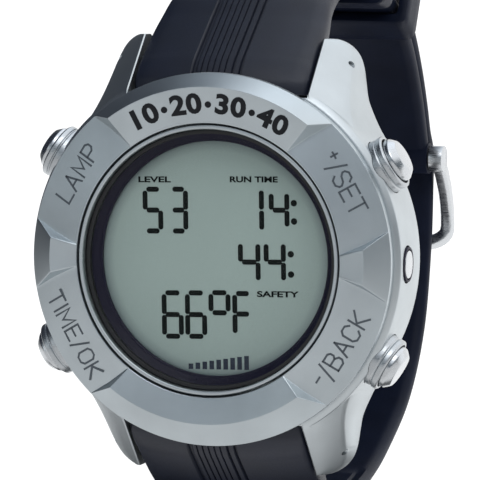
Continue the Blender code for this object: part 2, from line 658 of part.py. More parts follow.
def buckle():
    """Pin buckle: a bent frame and its tongue, both turning on the hinge bar."""
    axis = empty("buckle_axis", (0, HINGE_Y, HINGE_Z), None, UPRIGHT)
    down, out = CROSS_Y - HINGE_Y, CROSS_Z - HINGE_Z
    arm = [(ARM_X, 0.0, 0.0), (ARM_X, -2.0, -2.6), (ARM_X, -5.0, -5.4), (ARM_X, -8.2, -6.9)]
    corner = 3.2
    for i in range(5):
        angle = math.radians(90 * i / 4)
        arm.append((ARM_X - corner + corner * math.cos(angle),
                    down + 2.2 - 2.2 * math.sin(angle), out - 0.35 * math.cos(angle)))
    path = arm + [(-x, y, z) for x, y, z in reversed(arm)]
    frame = finish("buckle_frame", curve_mesh("buckle_frame", path, ARM_R), BRIGHT, axis)
    for side in (1, -1):
        boss = rod("frame_boss_%+d" % side, 2.0, (side * BOSS_IN, 0, 0), (side * BOSS_OUT, 0, 0),
                   parent=axis, segments=24, cutter=True)
        boolean(frame, boss, "UNION")
    boolean(frame, rod("frame_bore", 1.1, (-15, 0, 0), (15, 0, 0), parent=axis, segments=16,
                       cutter=True))
    rise = [(0, 0, -1.0), (0, -1.4, -3.2), (0, -2.6, -5.6), (0, -4.0, -6.7), (0, -6.5, -7.1),
            (0, -9.5, -7.9), (0, down - 1.3, out - ARM_R - TONGUE_R - 0.35)]
    bent = smooth_line([(y, z) for _, y, z in [(0, 0.6, 1.0)] + rise + [(0, -15.5, -8.0)]], 2)
    tongue = finish("buckle_tongue", curve_mesh("buckle_tongue", bent, TONGUE_R), BRIGHT, axis)
    boolean(tongue, rod("tongue_boss", 1.75, (-1.2, 0, 0), (1.2, 0, 0), parent=axis,
                        segments=24, cutter=True), "UNION")
    boolean(tongue, rod("tongue_bore", 1.1, (-3, 0, 0), (3, 0, 0), parent=axis, segments=16,
                        cutter=True))
    end = BOSS_OUT - 0.2
    rod("buckle_bar", HINGE_R, (-end, HINGE_Y, HINGE_Z), (end, HINGE_Y, HINGE_Z), STEEL,
        segments=20)


def spring_bars():
    """Two spring bars: a tube through the strap end, and a sliding pin at each end of it."""
    across = Matrix.Rotation(math.radians(90), 4, "Y")
    for name, end in (("upper", 1), ("lower", -1)):
        axis = empty("spring_bar_axis_" + name, (0, end * BAR_Y, BAR_Z), across, UPRIGHT)
        turned("spring_bar_" + name, ring_outline(0.62, BAR_R, -11.7, 11.7), STEEL, axis,
               steps=16)
        for side, word in ((1, "right"), (-1, "left")):
            tip = [(0, PIN_OUT), (PIN_R - 0.15, PIN_OUT), (PIN_R, PIN_OUT - 0.15), (PIN_R, PIN_IN),
                   (0, PIN_IN)]
            pin = turned("spring_pin_%s_%s" % (name, word), tip, STEEL, axis, steps=14)
            if side < 0:
                pin.rotation_euler = (math.radians(180), 0, 0)


def main():
    """Build every piece."""
    case_body()
    bezel()
    display()
    module()
    back()
    contact()
    for name, angle in BUTTONS.items():
        button(name, angle)
    strap_halves()
    keeper("keeper_fixed", FIXED_KEEPER_SPAN, 6.0)
    keeper("keeper_free", FREE_KEEPER_SPAN, 5.0)
    buckle()
    spring_bars()


main()
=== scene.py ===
"""Looks of the dive computer: every visible surface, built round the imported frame.

The watch is laid out on a bench: x points to 3 o'clock, y to 12 o'clock and z out of the face, in
millimetres from the case back's centre.  STAND turns that into the frame's own axes and metres.
"""
from math import atan, copysign, cos, pi, radians, sin, tau

import bmesh
import bpy
from mathutils import Matrix, Vector
from mathutils.geometry import interpolate_bezier


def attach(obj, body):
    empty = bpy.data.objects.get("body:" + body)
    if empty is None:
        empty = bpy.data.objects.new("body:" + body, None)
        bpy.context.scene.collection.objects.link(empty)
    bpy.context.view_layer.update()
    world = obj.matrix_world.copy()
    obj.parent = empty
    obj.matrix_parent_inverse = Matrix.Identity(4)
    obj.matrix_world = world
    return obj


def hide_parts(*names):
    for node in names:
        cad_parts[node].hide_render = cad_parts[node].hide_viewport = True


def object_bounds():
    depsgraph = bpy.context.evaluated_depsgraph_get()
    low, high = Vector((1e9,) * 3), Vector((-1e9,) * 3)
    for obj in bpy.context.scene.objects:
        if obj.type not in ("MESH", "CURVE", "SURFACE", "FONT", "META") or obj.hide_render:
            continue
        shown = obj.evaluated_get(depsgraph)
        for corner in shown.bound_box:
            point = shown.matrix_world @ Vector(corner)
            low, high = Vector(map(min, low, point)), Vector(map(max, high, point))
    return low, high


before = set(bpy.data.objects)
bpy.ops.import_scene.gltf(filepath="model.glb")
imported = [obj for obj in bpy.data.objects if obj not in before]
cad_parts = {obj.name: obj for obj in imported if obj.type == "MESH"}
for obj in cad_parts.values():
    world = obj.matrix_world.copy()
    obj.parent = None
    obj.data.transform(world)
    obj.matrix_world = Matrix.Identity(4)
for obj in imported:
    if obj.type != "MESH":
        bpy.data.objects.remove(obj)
CAD_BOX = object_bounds()

MM = 0.001
STAND = Matrix.Rotation(radians(90), 4, "X") @ Matrix.Scale(MM, 4)
ROUND, FACETS = 160, 32
CUT, JOIN = "DIFFERENCE", "UNION"
PHOTO_WIDTH = 480

# Dimensions in millimetres and degrees, most of them the frame's own
CASE_R, CASE_TOP, CASE_BOTTOM, CAVITY_R = 24.8, 12.0, 1.3, 20.4
NECK_IN, NECK_OUT, NECK_TOP = 16.82, 17.36, 15.0
LEDGE_R, LEDGE_BOTTOM, LEDGE_TOP = 15.6, 10.2, 11.15
FLAT_Y, LUG_IN, LUG_BEND = 21.0, 12.05, 21.2
LUG_FRONT = (0.544, 0.597, 0.590)
BAR_Y, BAR_Z = 25.1, 4.2
BEZEL_IN, BEZEL_OUT = 17.6, 24.0
BEZEL_BOTTOM, BEZEL_RIM, BEZEL_LIP, RIDGE_TOP = 12.3, 13.65, 15.15, 16.0
RIDGE_R, RIDGE_R_TWELVE = 21.0, 22.3
TAB_START, TAB_END, WALL_LEAN = 11.0, 48.5, 4.7
START_SPREAD, END_SPREAD = 6.5, 5.5
BUTTONS = {"plus": 30.0, "light": 150.0, "mode": 210.0, "minus": 330.0}
BUTTON_Z = 8.1
CONTACT_Z = 8.4
DISPLAY_TOP = 11.2
SCREW_RING, SCREW_ANGLES, PORT_Y = 22.2, (45, 135, 225, 315), -15.0
HINGE_Y, HINGE_Z = 9.2, -56.8
STRAP_HALF, BUCKLE_END_HALF, TAIL_HALF = 11.75, 10.3, 10.0
UPPER_LINE = [(20.3, 9.6), (22.75, 7.5), (25.4, 4.65), (29.0, 0.5), (31.9, -3.2),
              (34.2, -10.0), (35.0, -19.5), (34.0, -29.6), (30.4, -39.7), (25.0, -46.8),
              (18.3, -52.1), (12.4, -55.4), (9.9, -56.5), (6.0, -58.5)]
LOWER_LINE = [(-20.3, 9.6), (-22.75, 7.5), (-25.4, 4.65), (-28.9, 0.5), (-31.5, -3.2),
              (-33.4, -10.0), (-33.9, -19.5), (-32.6, -29.2), (-29.9, -38.5), (-24.0, -49.8),
              (-15.1, -57.2), (-4.0, -60.2), (5.0, -60.7), (9.6, -60.6)]
COARSE, FINE = 4, 12
FIXED_KEEPER_SPAN, FREE_KEEPER_SPAN, TAIL_END_SPAN = 7.0, 5.75, 5.0
OVERLAP_GAP = 2.9
ROOT_TOP, ROOT_UNDER, ROOT_REACH = 10.4, 4.6, 21.3
ROOT_LAYER, LAYER, TAIL_LAYER, CROWN, PAD = 4.4, 2.5, 2.3, 1.3, 0.3
SLOT_Y, SLOT_Z, SLOT_PITCH = 7.4, -60.4, 8.0
HINGE = Vector((0, HINGE_Y, HINGE_Z))


def placed(name, data):
    """A new object in the scene."""
    obj = bpy.data.objects.new(name, data)
    bpy.context.scene.collection.objects.link(obj)
    return obj


# ---- camera, lights, floor

# Darkest colour, then axis, start, end and colour after each step of the surround
SKY_FRONT = [(0.03, 0.034, 0.045, 1),
             ("X", -0.86, -0.68, (0.46, 0.52, 0.56, 1)),
             ("X", -0.50, 0.0, (0.175, 0.205, 0.235, 1)),
             ("X", 0.35, 0.85, (0.12, 0.145, 0.165, 1))]
SKY_BEHIND = [(0.03, 0.035, 0.05, 1),
              ("X", -0.60, -0.30, (0.17, 0.20, 0.24, 1)),
              ("X", -0.22, 0.02, (1.30, 1.38, 1.48, 1)),
              ("X", 0.12, 0.50, (1.20, 1.22, 1.25, 1))]
# Name, place, size and radiance of each softbox, in metres
SOFTBOXES = [("key_top", (0.16, -0.5, 0.66), (0.5, 0.35), 1.5),
             ("front_left", (-0.55, -0.75, 0.02), (0.35, 0.5), 0.36)]
LIT_POINT = Vector((0, 0.02, 0))


def camera():
    """Camera at the viewing angle, aimed a little off the dial's centre."""
    turn, lift, roll = radians(17.44), radians(5.16), radians(0.84)
    distance, scale = 0.5606, 7.81
    back = Vector((sin(turn) * cos(lift), -cos(turn) * cos(lift), sin(lift)))
    level = Vector((cos(turn), sin(turn), 0))
    rise = back.cross(level)
    right = level * cos(roll) + rise * sin(roll)
    up = rise * cos(roll) - level * sin(roll)
    target = Vector((0, -BEZEL_RIM * MM, 0))
    focal_pixels = scale * distance / MM
    aside, below = 29.85 / focal_pixels, 19.9 / focal_pixels
    spot = target + back * distance
    aim = (-back + right * aside + up * below).normalized()
    side = aim.cross(up).normalized()
    top = side.cross(aim)
    data = bpy.data.cameras.new("camera")
    data.sensor_width = 36.0
    data.lens = focal_pixels / PHOTO_WIDTH * data.sensor_width
    data.clip_start, data.clip_end = 0.01, 50.0
    cam = placed("camera", data)
    cam.matrix_world = Matrix.Translation(spot) @ Matrix((side, top, -aim)).transposed().to_4x4()
    bpy.context.scene.camera = cam


def soft_light(name, place, size, radiance):
    """An area light at a place in metres, facing the watch."""
    data = bpy.data.lights.new(name, "AREA")
    data.shape = "RECTANGLE"
    data.size, data.size_y = size
    data.energy = radiance * pi * size[0] * size[1]
    lamp = placed(name, data)
    lamp.location = place
    lamp.rotation_euler = (LIT_POINT - Vector(place)).to_track_quat("-Z", "Y").to_euler()


def sky(world):
    """Soft surround: one set of tones in front and one above and behind."""
    world.use_nodes = True
    graph = Graph(world.node_tree)
    split = graph.split(graph.node("TexCoord").outputs["Generated"])
    tones = []
    for tone, *steps in (SKY_FRONT, SKY_BEHIND):
        for axis, start, end, colour in steps:
            tone = graph.mix(graph.smooth_step(split[axis], start, end), tone, colour)
        tones.append(tone)
    over = graph.math("MAXIMUM", graph.smooth_step(split["Y"], -0.15, 0.25),
                      graph.smooth_step(split["Z"], 0.20, 0.66))
    graph.links.new(graph.mix(over, *tones), graph.nodes["Background"].inputs["Color"])


def floor_mesh():
    """A wide sheet that curves up behind the watch."""
    bm = bmesh.new()
    lowest = CAD_BOX[0][2]
    front, half_width, reach, rise, bend, steps = -2.0, 4.0, 3.0, 2.5, 0.6, 12
    outline = [Vector((0, front, lowest)), Vector((0, reach - bend, lowest))]
    for i in range(1, steps + 1):
        angle = radians(90 * i / steps)
        outline.append(Vector((0, reach - bend + bend * sin(angle),
                               lowest + bend - bend * cos(angle))))
    outline.append(Vector((0, reach, lowest + rise)))
    rows = [[bm.verts.new(p + Vector((x, 0, 0))) for p in outline]
            for x in (-half_width, half_width)]
    for i in range(len(outline) - 1):
        bm.faces.new((rows[0][i], rows[1][i], rows[1][i + 1], rows[0][i + 1]))
    mesh = bpy.data.meshes.new("floor")
    bm.to_mesh(mesh)
    bm.free()
    mesh.shade_smooth()
    return mesh


def floor_material():
    """White paper that glows as painted light in front of and behind the watch, with a painted
    shadow right under it.
    """
    shade = Shade("floor", (0.16, 0.16, 0.16), 0.9)
    split = shade.split(shade.place)
    across, along = split["X"], split["Y"]
    # Painted light: the floor's glow, dimmed to the left and right of the watch.
    sides = shade.product(shade.spread(across, 0.0, 1.0, -0.25, -0.13),
                          shade.spread(across, 1.0, 0.3, 0.10, 0.24))
    front = shade.product(shade.spread(along, 0.56, 0.0, -0.03, 0.02), sides)
    slant = shade.node("VectorMath", [(0, shade.place), (1, (1.0, 0.42, 0.0))],
                       operation="DOT_PRODUCT").outputs["Value"]
    behind = shade.product(shade.spread(along, 0.0, 1.0, -0.03, 0.02),
                           shade.spread(slant, 0.0, 1.0, -0.16, -0.07))
    # Painted shadow: the glow is taken away in a patch right under the watch.
    strip = shade.product(shade.spread(along, 0.0, 1.0, -0.012, 0.003),
                          shade.spread(along, 1.0, 0.0, 0.004, 0.022))
    below = shade.product(strip, shade.spread(shade.math("ABSOLUTE", across), 1.0, 0.0, 0.03, 0.07))
    glow = shade.product(shade.math("ADD", front, behind), shade.spread(below, 1.0, 0.0))
    shade.set(("Emission Color", (1, 1, 1, 1)), ("Emission Strength", glow))
    return shade.mat


def studio():
    """A pale floor that glows as painted light, a soft surround and soft lights."""
    bpy.context.scene.view_settings.view_transform = "Standard"
    world = bpy.data.worlds.new("studio")
    bpy.context.scene.world = world
    sky(world)
    for light in SOFTBOXES:
        soft_light(*light)
    mesh = floor_mesh()
    mesh.materials.append(floor_material())
    floor = placed("floor", mesh)


# ---- materials

class Graph:
    """Short ways to add nodes to a node tree."""

    def __init__(self, tree):
        self.nodes, self.links = tree.nodes, tree.links

    def feed(self, node, inputs):
        """Give each listed socket of a node its value, or a link from another node's output."""
        for socket, value in inputs:
            if isinstance(value, bpy.types.NodeSocket):
                self.links.new(value, node.inputs[socket])
            else:
                node.inputs[socket].default_value = value

    def node(self, kind, inputs=(), **settings):
        """Add a node of a kind, with its settings and inputs."""
        node = self.nodes.new("ShaderNode" + kind)
        for name, value in settings.items():
            setattr(node, name, value)
        self.feed(node, inputs)
        return node

    def split(self, vector):
        """Parts X, Y and Z of a vector."""
        return self.node("SeparateXYZ", [(0, vector)]).outputs

    def math(self, operation, *values):
        """One calculation on one or two values."""
        return self.node("Math", enumerate(values), operation=operation).outputs[0]

    def product(self, first, second):
        """Two factors multiplied."""
        return self.math("MULTIPLY", first, second)

    def mix(self, factor, first, second, **settings):
        """Two colours mixed."""
        return self.node("Mix", [("Factor", factor), ("A", first), ("B", second)],
                         data_type="RGBA", **settings).outputs["Result"]

    def spread(self, value, low, high, start=0.3, end=0.7, **settings):
        """Map a value from the range start to end to the range low to high."""
        return self.node("MapRange", [("From Min", start), ("From Max", end), ("To Min", low),
                                      ("To Max", high), ("Value", value)], **settings).outputs[0]

    def smooth_step(self, value, start, end):
        """Smooth step from 0 to 1."""
        return self.spread(value, 0.0, 1.0, start, end, interpolation_type="SMOOTHSTEP")


class Shade(Graph):
    """A Principled material and short ways to build its look."""

    def __init__(self, name, colour, roughness, metallic=0.0):
        self.mat = bpy.data.materials.new(name)
        self.mat.use_nodes = True
        super().__init__(self.mat.node_tree)
        self.colour = colour
        self.shader = self.nodes["Principled BSDF"]
        self.set(("Base Color", (*colour, 1.0)), ("Roughness", roughness), ("Metallic", metallic))
        self.place = self.node("TexCoord").outputs["Object"]

    def set(self, *inputs):
        """Feed the shader's own sockets."""
        self.feed(self.shader, inputs)

    def stretched(self, scale):
        """Object coordinates, stretched."""
        return self.node("Mapping", [("Scale", scale), ("Vector", self.place)]).outputs[0]

    def noise(self, scale, detail, vector=None):
        """Noise with features about 1/scale metres wide."""
        return self.node("TexNoise", [("Scale", scale), ("Detail", detail),
                                      ("Vector", vector or self.place)]).outputs["Fac"]

    def radius(self):
        """Distance from the dial's axis, in metres."""
        split = self.split(self.place)
        flat = self.node("CombineXYZ", [("X", split["X"]), ("Y", split["Z"])]).outputs[0]
        return self.node("VectorMath", [(0, flat)], operation="LENGTH").outputs["Value"]

    def bump(self, value, height_mm):
        """A fine relief of a given height."""
        node = self.node("Bump", [("Distance", height_mm * MM), ("Strength", 1.0),
                                  ("Height", value)])
        self.set(("Normal", node.outputs[0]))
        return self.mat

    def finished(self, cloud, tints, grain, roughness, height_mm):
        """Colour varied by one noise, roughness and relief by another."""
        tones = [(*(min(1, c * tint) for c in self.colour), 1) for tint in tints]
        self.set(("Base Color", self.mix(self.spread(cloud, 0, 1), *tones)),
                 ("Roughness", self.spread(grain, *roughness)))
        return self.bump(grain, height_mm)


def blasted_steel(name, colour, roughness):
    """Bead-blasted stainless steel: fine even grain, faint clouding."""
    shade = Shade(name, colour, roughness, 1.0)
    return shade.finished(shade.noise(140, 3), (0.93, 1.05), shade.noise(9000, 2),
                          (roughness - 0.05, roughness + 0.06), 0.006)


def brushed_steel(name, colour, roughness):
    """Steel brushed along one axis."""
    shade = Shade(name, colour, roughness, 1.0)
    lines = shade.noise(1.0, 3, shade.stretched((300, 9000, 9000)))
    return shade.finished(lines, (0.88, 1), lines, (roughness - 0.07, roughness + 0.1), 0.004)


def turned_steel(name, colour, roughness):
    """Steel with fine concentric turning lines about the dial's axis."""
    shade = Shade(name, colour, roughness, 1.0)
    noise = shade.node("TexNoise", noise_dimensions="1D")
    shade.feed(noise, [("Scale", 6000), ("Detail", 4), ("W", shade.radius())])
    lines = noise.outputs["Fac"]
    return shade.finished(lines, (0.85, 1), lines, (roughness - 0.06, roughness + 0.12), 0.005)


def rubber(name, colour, roughness):
    """Moulded rubber with a satin face and a very fine texture; its reflection fades towards the
    back as painted shade.
    """
    shade = Shade(name, colour, roughness)
    # Painted shade: less reflection on the parts that lie further back, which sit in shade.
    depth = shade.split(shade.place)["Y"]
    shade.set(("Specular IOR Level", shade.spread(depth, 0.5, 0.1, 0.002, 0.016)))
    return shade.finished(shade.noise(220, 4), (1, 1.35), shade.noise(7000, 3),
                          (roughness - 0.06, roughness + 0.1), 0.012)


def plastic(name, colour, roughness, grain_scale=5000, height=0.004, shine=0.5):
    """Moulded plastic or lacquer with a faint texture."""
    shade = Shade(name, colour, roughness)
    shade.set(("Specular IOR Level", shine))
    grain = shade.noise(grain_scale, 2)
    return shade.finished(grain, (1, 1.2), grain, (roughness * 0.85, roughness * 1.15), height)


def display_material():
    """Reflective grey-green display: faint speckle, and a painted shadow of the flange that darkens
    it towards its edge.
    """
    shade = Shade("display_face", (0.27, 0.33, 0.30), 0.45)
    # Painted shade: the face darkens near its rim, where the flange's shadow falls.
    edge = shade.spread(shade.radius(), 0, 1, 0.0138, 0.0156)
    tone = shade.mix(edge, (0.45, 0.565, 0.52, 1), (0.24, 0.305, 0.31, 1))
    speckle = shade.noise(5200, 2)
    grey = shade.product(shade.spread(speckle, 0.96, 1.03),
                         shade.spread(shade.noise(60, 1), 0.97, 1.03))
    shade.set(("Base Color", shade.mix(1.0, tone, grey, blend_type="MULTIPLY")))
    return shade.bump(speckle, 0.002)


def glass_material():
    """Clear mineral glass, seen mostly by its reflections."""
    shade = Shade("mineral_glass", (0.02, 0.022, 0.025), 0.03)
    shade.set(("Alpha", 0.045), ("IOR", 1.5),
              ("Roughness", shade.spread(shade.noise(400, 2), 0.02, 0.05)))
    return shade.mat


# ---- mesh tools

def soften(outline, radius, closed=True, steps=3, keep=()):
    """Round the corners of a flat outline; the corners listed in keep stay sharp."""
    spots = [Vector(p) for p in outline]
    count = len(spots)
    result = []
    for i, spot in enumerate(spots):
        ends = not closed and i in (0, count - 1)
        if ends or i in keep:
            result.append(tuple(spot))
            continue
        before, after = spots[i - 1] - spot, spots[(i + 1) % count] - spot
        cut = min(radius, before.length * 0.45, after.length * 0.45)
        start = spot + before.normalized() * cut
        end = spot + after.normalized() * cut
        for j in range(steps + 1):
            t = j / steps
            result.append(tuple(start * (1 - t) ** 2 + spot * 2 * t * (1 - t) + end * t * t))
    return result


def rounded_box(half_wide, half_high, corner):
    """Outline of a rectangle with round corners."""
    return soften([(-half_wide, -half_high), (half_wide, -half_high), (half_wide, half_high),
                   (-half_wide, half_high)], corner, steps=4)


def stairs(r, z, *turns):
    """Corners of an outline that runs along r and z in turn; turns gives where each run ends."""
    spots = [(r, z)]
    for i, value in enumerate(turns):
        r, z = (r, value) if i % 2 else (value, z)
        spots.append((r, z))
    return spots


def skin(rings, loop=False, caps=False):
    """Faces between rings of points.  A ring of one point makes a tip."""
    bm = bmesh.new()
    rows = [[bm.verts.new(p) for p in ring] for ring in rings]
    count = max(len(row) for row in rows)
    for row, following in zip(rows, rows[1:] + (rows[:1] if loop else [])):
        for i in range(count):
            j = (i + 1) % count
            corners = (row[i % len(row)], row[j % len(row)],
                       following[j % len(following)], following[i % len(following)])
            bm.faces.new(list(dict.fromkeys(corners)))
    if caps:
        bm.faces.new(rows[0])
        bm.faces.new(rows[-1])
    bmesh.ops.recalc_face_normals(bm, faces=bm.faces)
    return bm


def lathe(outline, steps=ROUND):
    """Turn an (r, z) outline about z.  It closes into a ring unless it starts on the axis."""
    rings = [[(r * cos(tau * i / steps), r * sin(tau * i / steps), z)
              for i in range(steps if r else 1)] for r, z in outline]
    return skin(rings, loop=outline[0][0] > 0)


def disc(radius, top, bottom, edge, steps=ROUND):
    """A flat disc with a rounded rim."""
    return lathe(soften(stairs(0, top, radius, bottom, 0), edge, False), steps)


def moved(bm, place):
    """Transform a bmesh."""
    bmesh.ops.transform(bm, matrix=place, verts=bm.verts)
    return bm


def smoothed(mesh, sharp):
    """Shade a mesh smooth, but for creases sharper than an angle in degrees."""
    mesh.shade_smooth()
    mesh.set_sharp_from_angle(angle=radians(sharp))
    return mesh


def finished_mesh(shape, sharp=32.0):
    """Turn a bmesh in bench millimetres into a smooth-shaded mesh in metres."""
    if isinstance(shape, bpy.types.Mesh):
        return shape
    mesh = bpy.data.meshes.new("shape")
    moved(shape, STAND).to_mesh(mesh)
    shape.free()
    return smoothed(mesh, sharp)


def show(name, shape, mat, nodes=(), body="root"):
    """Put a shape in the scene as a piece that rides on a body and stands for CAD nodes."""
    mesh = finished_mesh(shape)
    obj = placed(name, mesh)
    coat(mesh, mat)
    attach(obj, body)
    if nodes:
        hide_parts(*nodes)


def block_bm(low, high):
    """A box between two corners."""
    bm = bmesh.new()
    bmesh.ops.create_cube(bm, size=1)
    low, high = Vector(low), Vector(high)
    bmesh.ops.scale(bm, vec=high - low, verts=bm.verts)
    bmesh.ops.translate(bm, vec=(low + high) / 2, verts=bm.verts)
    return bm


def rod_bm(radius, start, end, segments=FACETS):
    """A cylinder from one point to another."""
    start, end = Vector(start), Vector(end)
    line = end - start
    turn = line.to_track_quat("Z", "Y").to_matrix().to_4x4()
    bm = bmesh.new()
    bmesh.ops.create_cone(bm, cap_ends=True, segments=segments, radius1=radius, radius2=radius,
                          depth=line.length, matrix=Matrix.Translation((start + end) / 2) @ turn)
    return bm


def radial_rod(radius, near, far, degrees, z, segments=FACETS):
    """A cylinder pointing out from the dial's axis."""
    return rod_bm(radius, polar(near, degrees, z), polar(far, degrees, z), segments)


def screw_rod(radius, low, high, degrees, segments=FACETS):
    """An upright cylinder where a case back screw sits."""
    return rod_bm(radius, polar(SCREW_RING, degrees, low), polar(SCREW_RING, degrees, high),
                  segments)


def level_rod(radius, left, right, y, z, segments=FACETS):
    """A cylinder along x."""
    return rod_bm(radius, (left, y, z), (right, y, z), segments)


def applied(obj, *helpers):
    """An object's mesh with its modifiers applied; the object and its helpers are used up."""
    bpy.context.view_layer.update()
    depsgraph = bpy.context.evaluated_depsgraph_get()
    mesh = bpy.data.meshes.new_from_object(obj.evaluated_get(depsgraph))
    for spent in (obj, *helpers):
        bpy.data.objects.remove(spent, do_unlink=True)
    return mesh


def combine(shape, tools, sharp=32.0):
    """Apply a list of (operation, tool) Booleans to a shape and return the new mesh."""
    base = placed("base", finished_mesh(shape))
    helpers = [placed("tool", finished_mesh(tool)) for _, tool in tools]
    for (operation, _), helper in zip(tools, helpers):
        step = base.modifiers.new("step", "BOOLEAN")
        step.operation, step.solver, step.object = operation, "EXACT", helper
    return smoothed(applied(base, *helpers), sharp)


def bevelled(mesh, width_mm, angle, sharp=40.0):
    """Give a mesh's edges a small real bevel."""
    base = placed("base", mesh)
    step = base.modifiers.new("bevel", "BEVEL")
    step.width, step.segments = width_mm * MM, 2
    step.limit_method, step.angle_limit = "ANGLE", radians(angle)
    return smoothed(applied(base), sharp)


def even_shading(mesh):
    """Let large faces set the shading, so that small bevels stay crisp."""
    base = placed("base", mesh)
    base.modifiers.new("shading", "WEIGHTED_NORMAL").keep_sharp = True
    return applied(base)


def lerp(start, end, share):
    """The number a share of the way from start to end."""
    return start + (end - start) * share


def polar(radius, degrees, z):
    """A point at a radius and an angle about the dial's axis."""
    angle = radians(degrees)
    return Vector((radius * cos(angle), radius * sin(angle), z))


def dial_place(radius, degrees, z, incline, inward=False):
    """Where a mark sits on the bezel: X along the reading line, Y up the letters, Z outwards."""
    angle, tilt = radians(degrees), atan(incline)
    out = Vector((cos(angle), sin(angle), 0))
    along = Vector((sin(angle), -cos(angle), 0))
    up = out * cos(tilt) + Vector((0, 0, sin(tilt)))
    if inward:
        along, up = -along, -up
    turn = Matrix((along, up, along.cross(up))).transposed().to_4x4()
    return Matrix.Translation(polar(radius, degrees, z)) @ turn


def letters(text, size, depth, weight, spacing=1.0, stretch=1.0):
    """Closed solids of generic lettering, centred, in millimetres."""
    curve = bpy.data.curves.new("letters", "FONT")
    curve.body, curve.size, curve.extrude, curve.offset = text, size, depth / 2, weight
    curve.space_character, curve.resolution_u = spacing, 4
    curve.align_x, curve.align_y = "CENTER", "CENTER"
    bm = bmesh.new()
    bm.from_mesh(applied(placed("letters", curve)))
    bmesh.ops.remove_doubles(bm, verts=bm.verts, dist=0.0005)
    bmesh.ops.recalc_face_normals(bm, faces=bm.faces)
    bmesh.ops.scale(bm, vec=(stretch, 1, 1), verts=bm.verts)
    return bm


def merge(pieces):
    """Join several bmeshes into one."""
    whole = bmesh.new()
    for bm in pieces:
        mesh = bpy.data.meshes.new("part")
        bm.to_mesh(mesh)
        bm.free()
        whole.from_mesh(mesh)
        bpy.data.meshes.remove(mesh)
    return whole


# ---- case

LUG_STATIONS = [
    # y, x of the crease, x of the lower edge, z of the lower edge
    (14.5, 19.6, 20.6, 1.6), (16.5, 18.2, 19.3, 1.6), (18.5, 17.2, 18.3, 1.6),
    (20.5, 16.55, 17.5, 1.55), (22.5, 16.15, 17.05, 1.1), (24.5, 15.85, 16.7, 0.95),
    (26.0, 15.5, 16.2, 1.0), (27.1, 14.9, 15.4, 1.2), (27.8, 14.1, 14.5, 1.6),
    (28.2, 13.3, 13.6, 2.2), (28.3, 12.75, 12.9, 2.7)]


def smooth_rows(rows, steps):
    """Catmull-Rom rows through the given rows of numbers."""
    result = []
    for i in range(len(rows) - 1):
        knots = (rows[max(i - 1, 0)], rows[i], rows[i + 1], rows[min(i + 2, len(rows) - 1)])
        for t in (j / steps for j in range(steps)):
            result.append([0.5 * (2 * b + (c - a) * t + (2 * a - 5 * b + 4 * c - d) * t * t
                                  + (3 * b - a - 3 * c + d) * t ** 3)
                           for a, b, c, d in zip(*knots)])
    return result + [rows[-1]]


def lug_front(x, y):
    """Height of the sloping front plane of the lugs, no higher than the case top."""
    fall = LUG_FRONT[0] * (x - LUG_IN) + LUG_FRONT[1] * (y - LUG_BEND)
    return min(CASE_TOP - 0.05, CASE_TOP - fall / LUG_FRONT[2])


def lug_bm(side, end):
    """One lug, lofted from the case side to its rounded tip."""
    rings = []
    for y, crease, low_x, low_z in smooth_rows(LUG_STATIONS, 4):
        inner = LUG_IN if y > 17.2 else LUG_IN + (17.2 - y) * 1.25
        fold = lug_front(crease, y)
        span = crease - inner
        bulge = 0.16 * min(1, span / 2)
        outline = [(inner, low_z + 0.2), (inner + 0.2, low_z), (low_x - 0.5, low_z),
                   (low_x - 0.1, low_z + 0.15), (low_x, low_z + 0.55),
                   (crease + 0.18, fold - 0.75), (crease, fold - 0.28),
                   (crease - 0.35, fold + 0.12),
                   (inner + span * 0.6, lug_front(inner + span * 0.6, y) + bulge),
                   (inner + span * 0.3, lug_front(inner + span * 0.3, y) + bulge),
                   (inner + 0.16, lug_front(inner, y)), (inner, lug_front(inner, y) - 0.16)]
        rings.append([(side * x, end * y, min(z, CASE_TOP - 0.05)) for x, z in outline])
    bm = skin(rings, caps=True)
    bmesh.ops.remove_doubles(bm, verts=bm.verts, dist=0.001)
    bmesh.ops.recalc_face_normals(bm, faces=bm.faces)
    return bm


def case_shell(mat):
    """The case with its lugs and bores."""
    outline = [(CASE_R - 0.7, CASE_TOP), (CASE_R, CASE_TOP - 0.6), (CASE_R, 2.3)]
    outline += stairs(CASE_R - 0.9, CASE_BOTTOM, CAVITY_R, LEDGE_BOTTOM, LEDGE_R, LEDGE_TOP,
                      NECK_IN, NECK_TOP, NECK_OUT, CASE_TOP)
    outline = soften(outline, 0.22, keep=range(4, 9))
    tools = []
    for end in (1, -1):
        low, high = sorted((end * FLAT_Y, end * 40))
        tools.append((CUT, block_bm((-LUG_IN, low, 0), (LUG_IN, high, CASE_TOP + 0.1))))
    for side in (1, -1):
        for end in (1, -1):
            tools.append((JOIN, lug_bm(side, end)))
            for radius, near, far in ((0.65, 11.5, 14.2), (0.42, 13.8, 19.5)):
                tools.append((CUT, level_rod(radius, side * near, side * far, end * BAR_Y, BAR_Z)))
    for angle in BUTTONS.values():
        tools += [(CUT, radial_rod(3.7, 21.8, 27.5, angle, BUTTON_Z, 64)),
                  (CUT, radial_rod(1.25, 19.5, 27.5, angle, BUTTON_Z))]
    tools += [(CUT, radial_rod(2.45, 23.1, 26, 0, CONTACT_Z, 64)),
              (CUT, radial_rod(0.95, 19.5, 24, 0, CONTACT_Z))]
    tools += [(CUT, screw_rod(1.0, 0.5, 4.8, angle)) for angle in SCREW_ANGLES]
    show("case_shell", combine(lathe(outline), tools, 26.0), mat, ["case_body"])


# ---- bezel

# Word, angle and whether its letters stand towards the dial
TAB_WORDS = [("LAMP", 149.5, False), ("+/SET", 30.5, False), ("-/BACK", 329.0, True),
             ("TIME/OK", 210.0, True)]


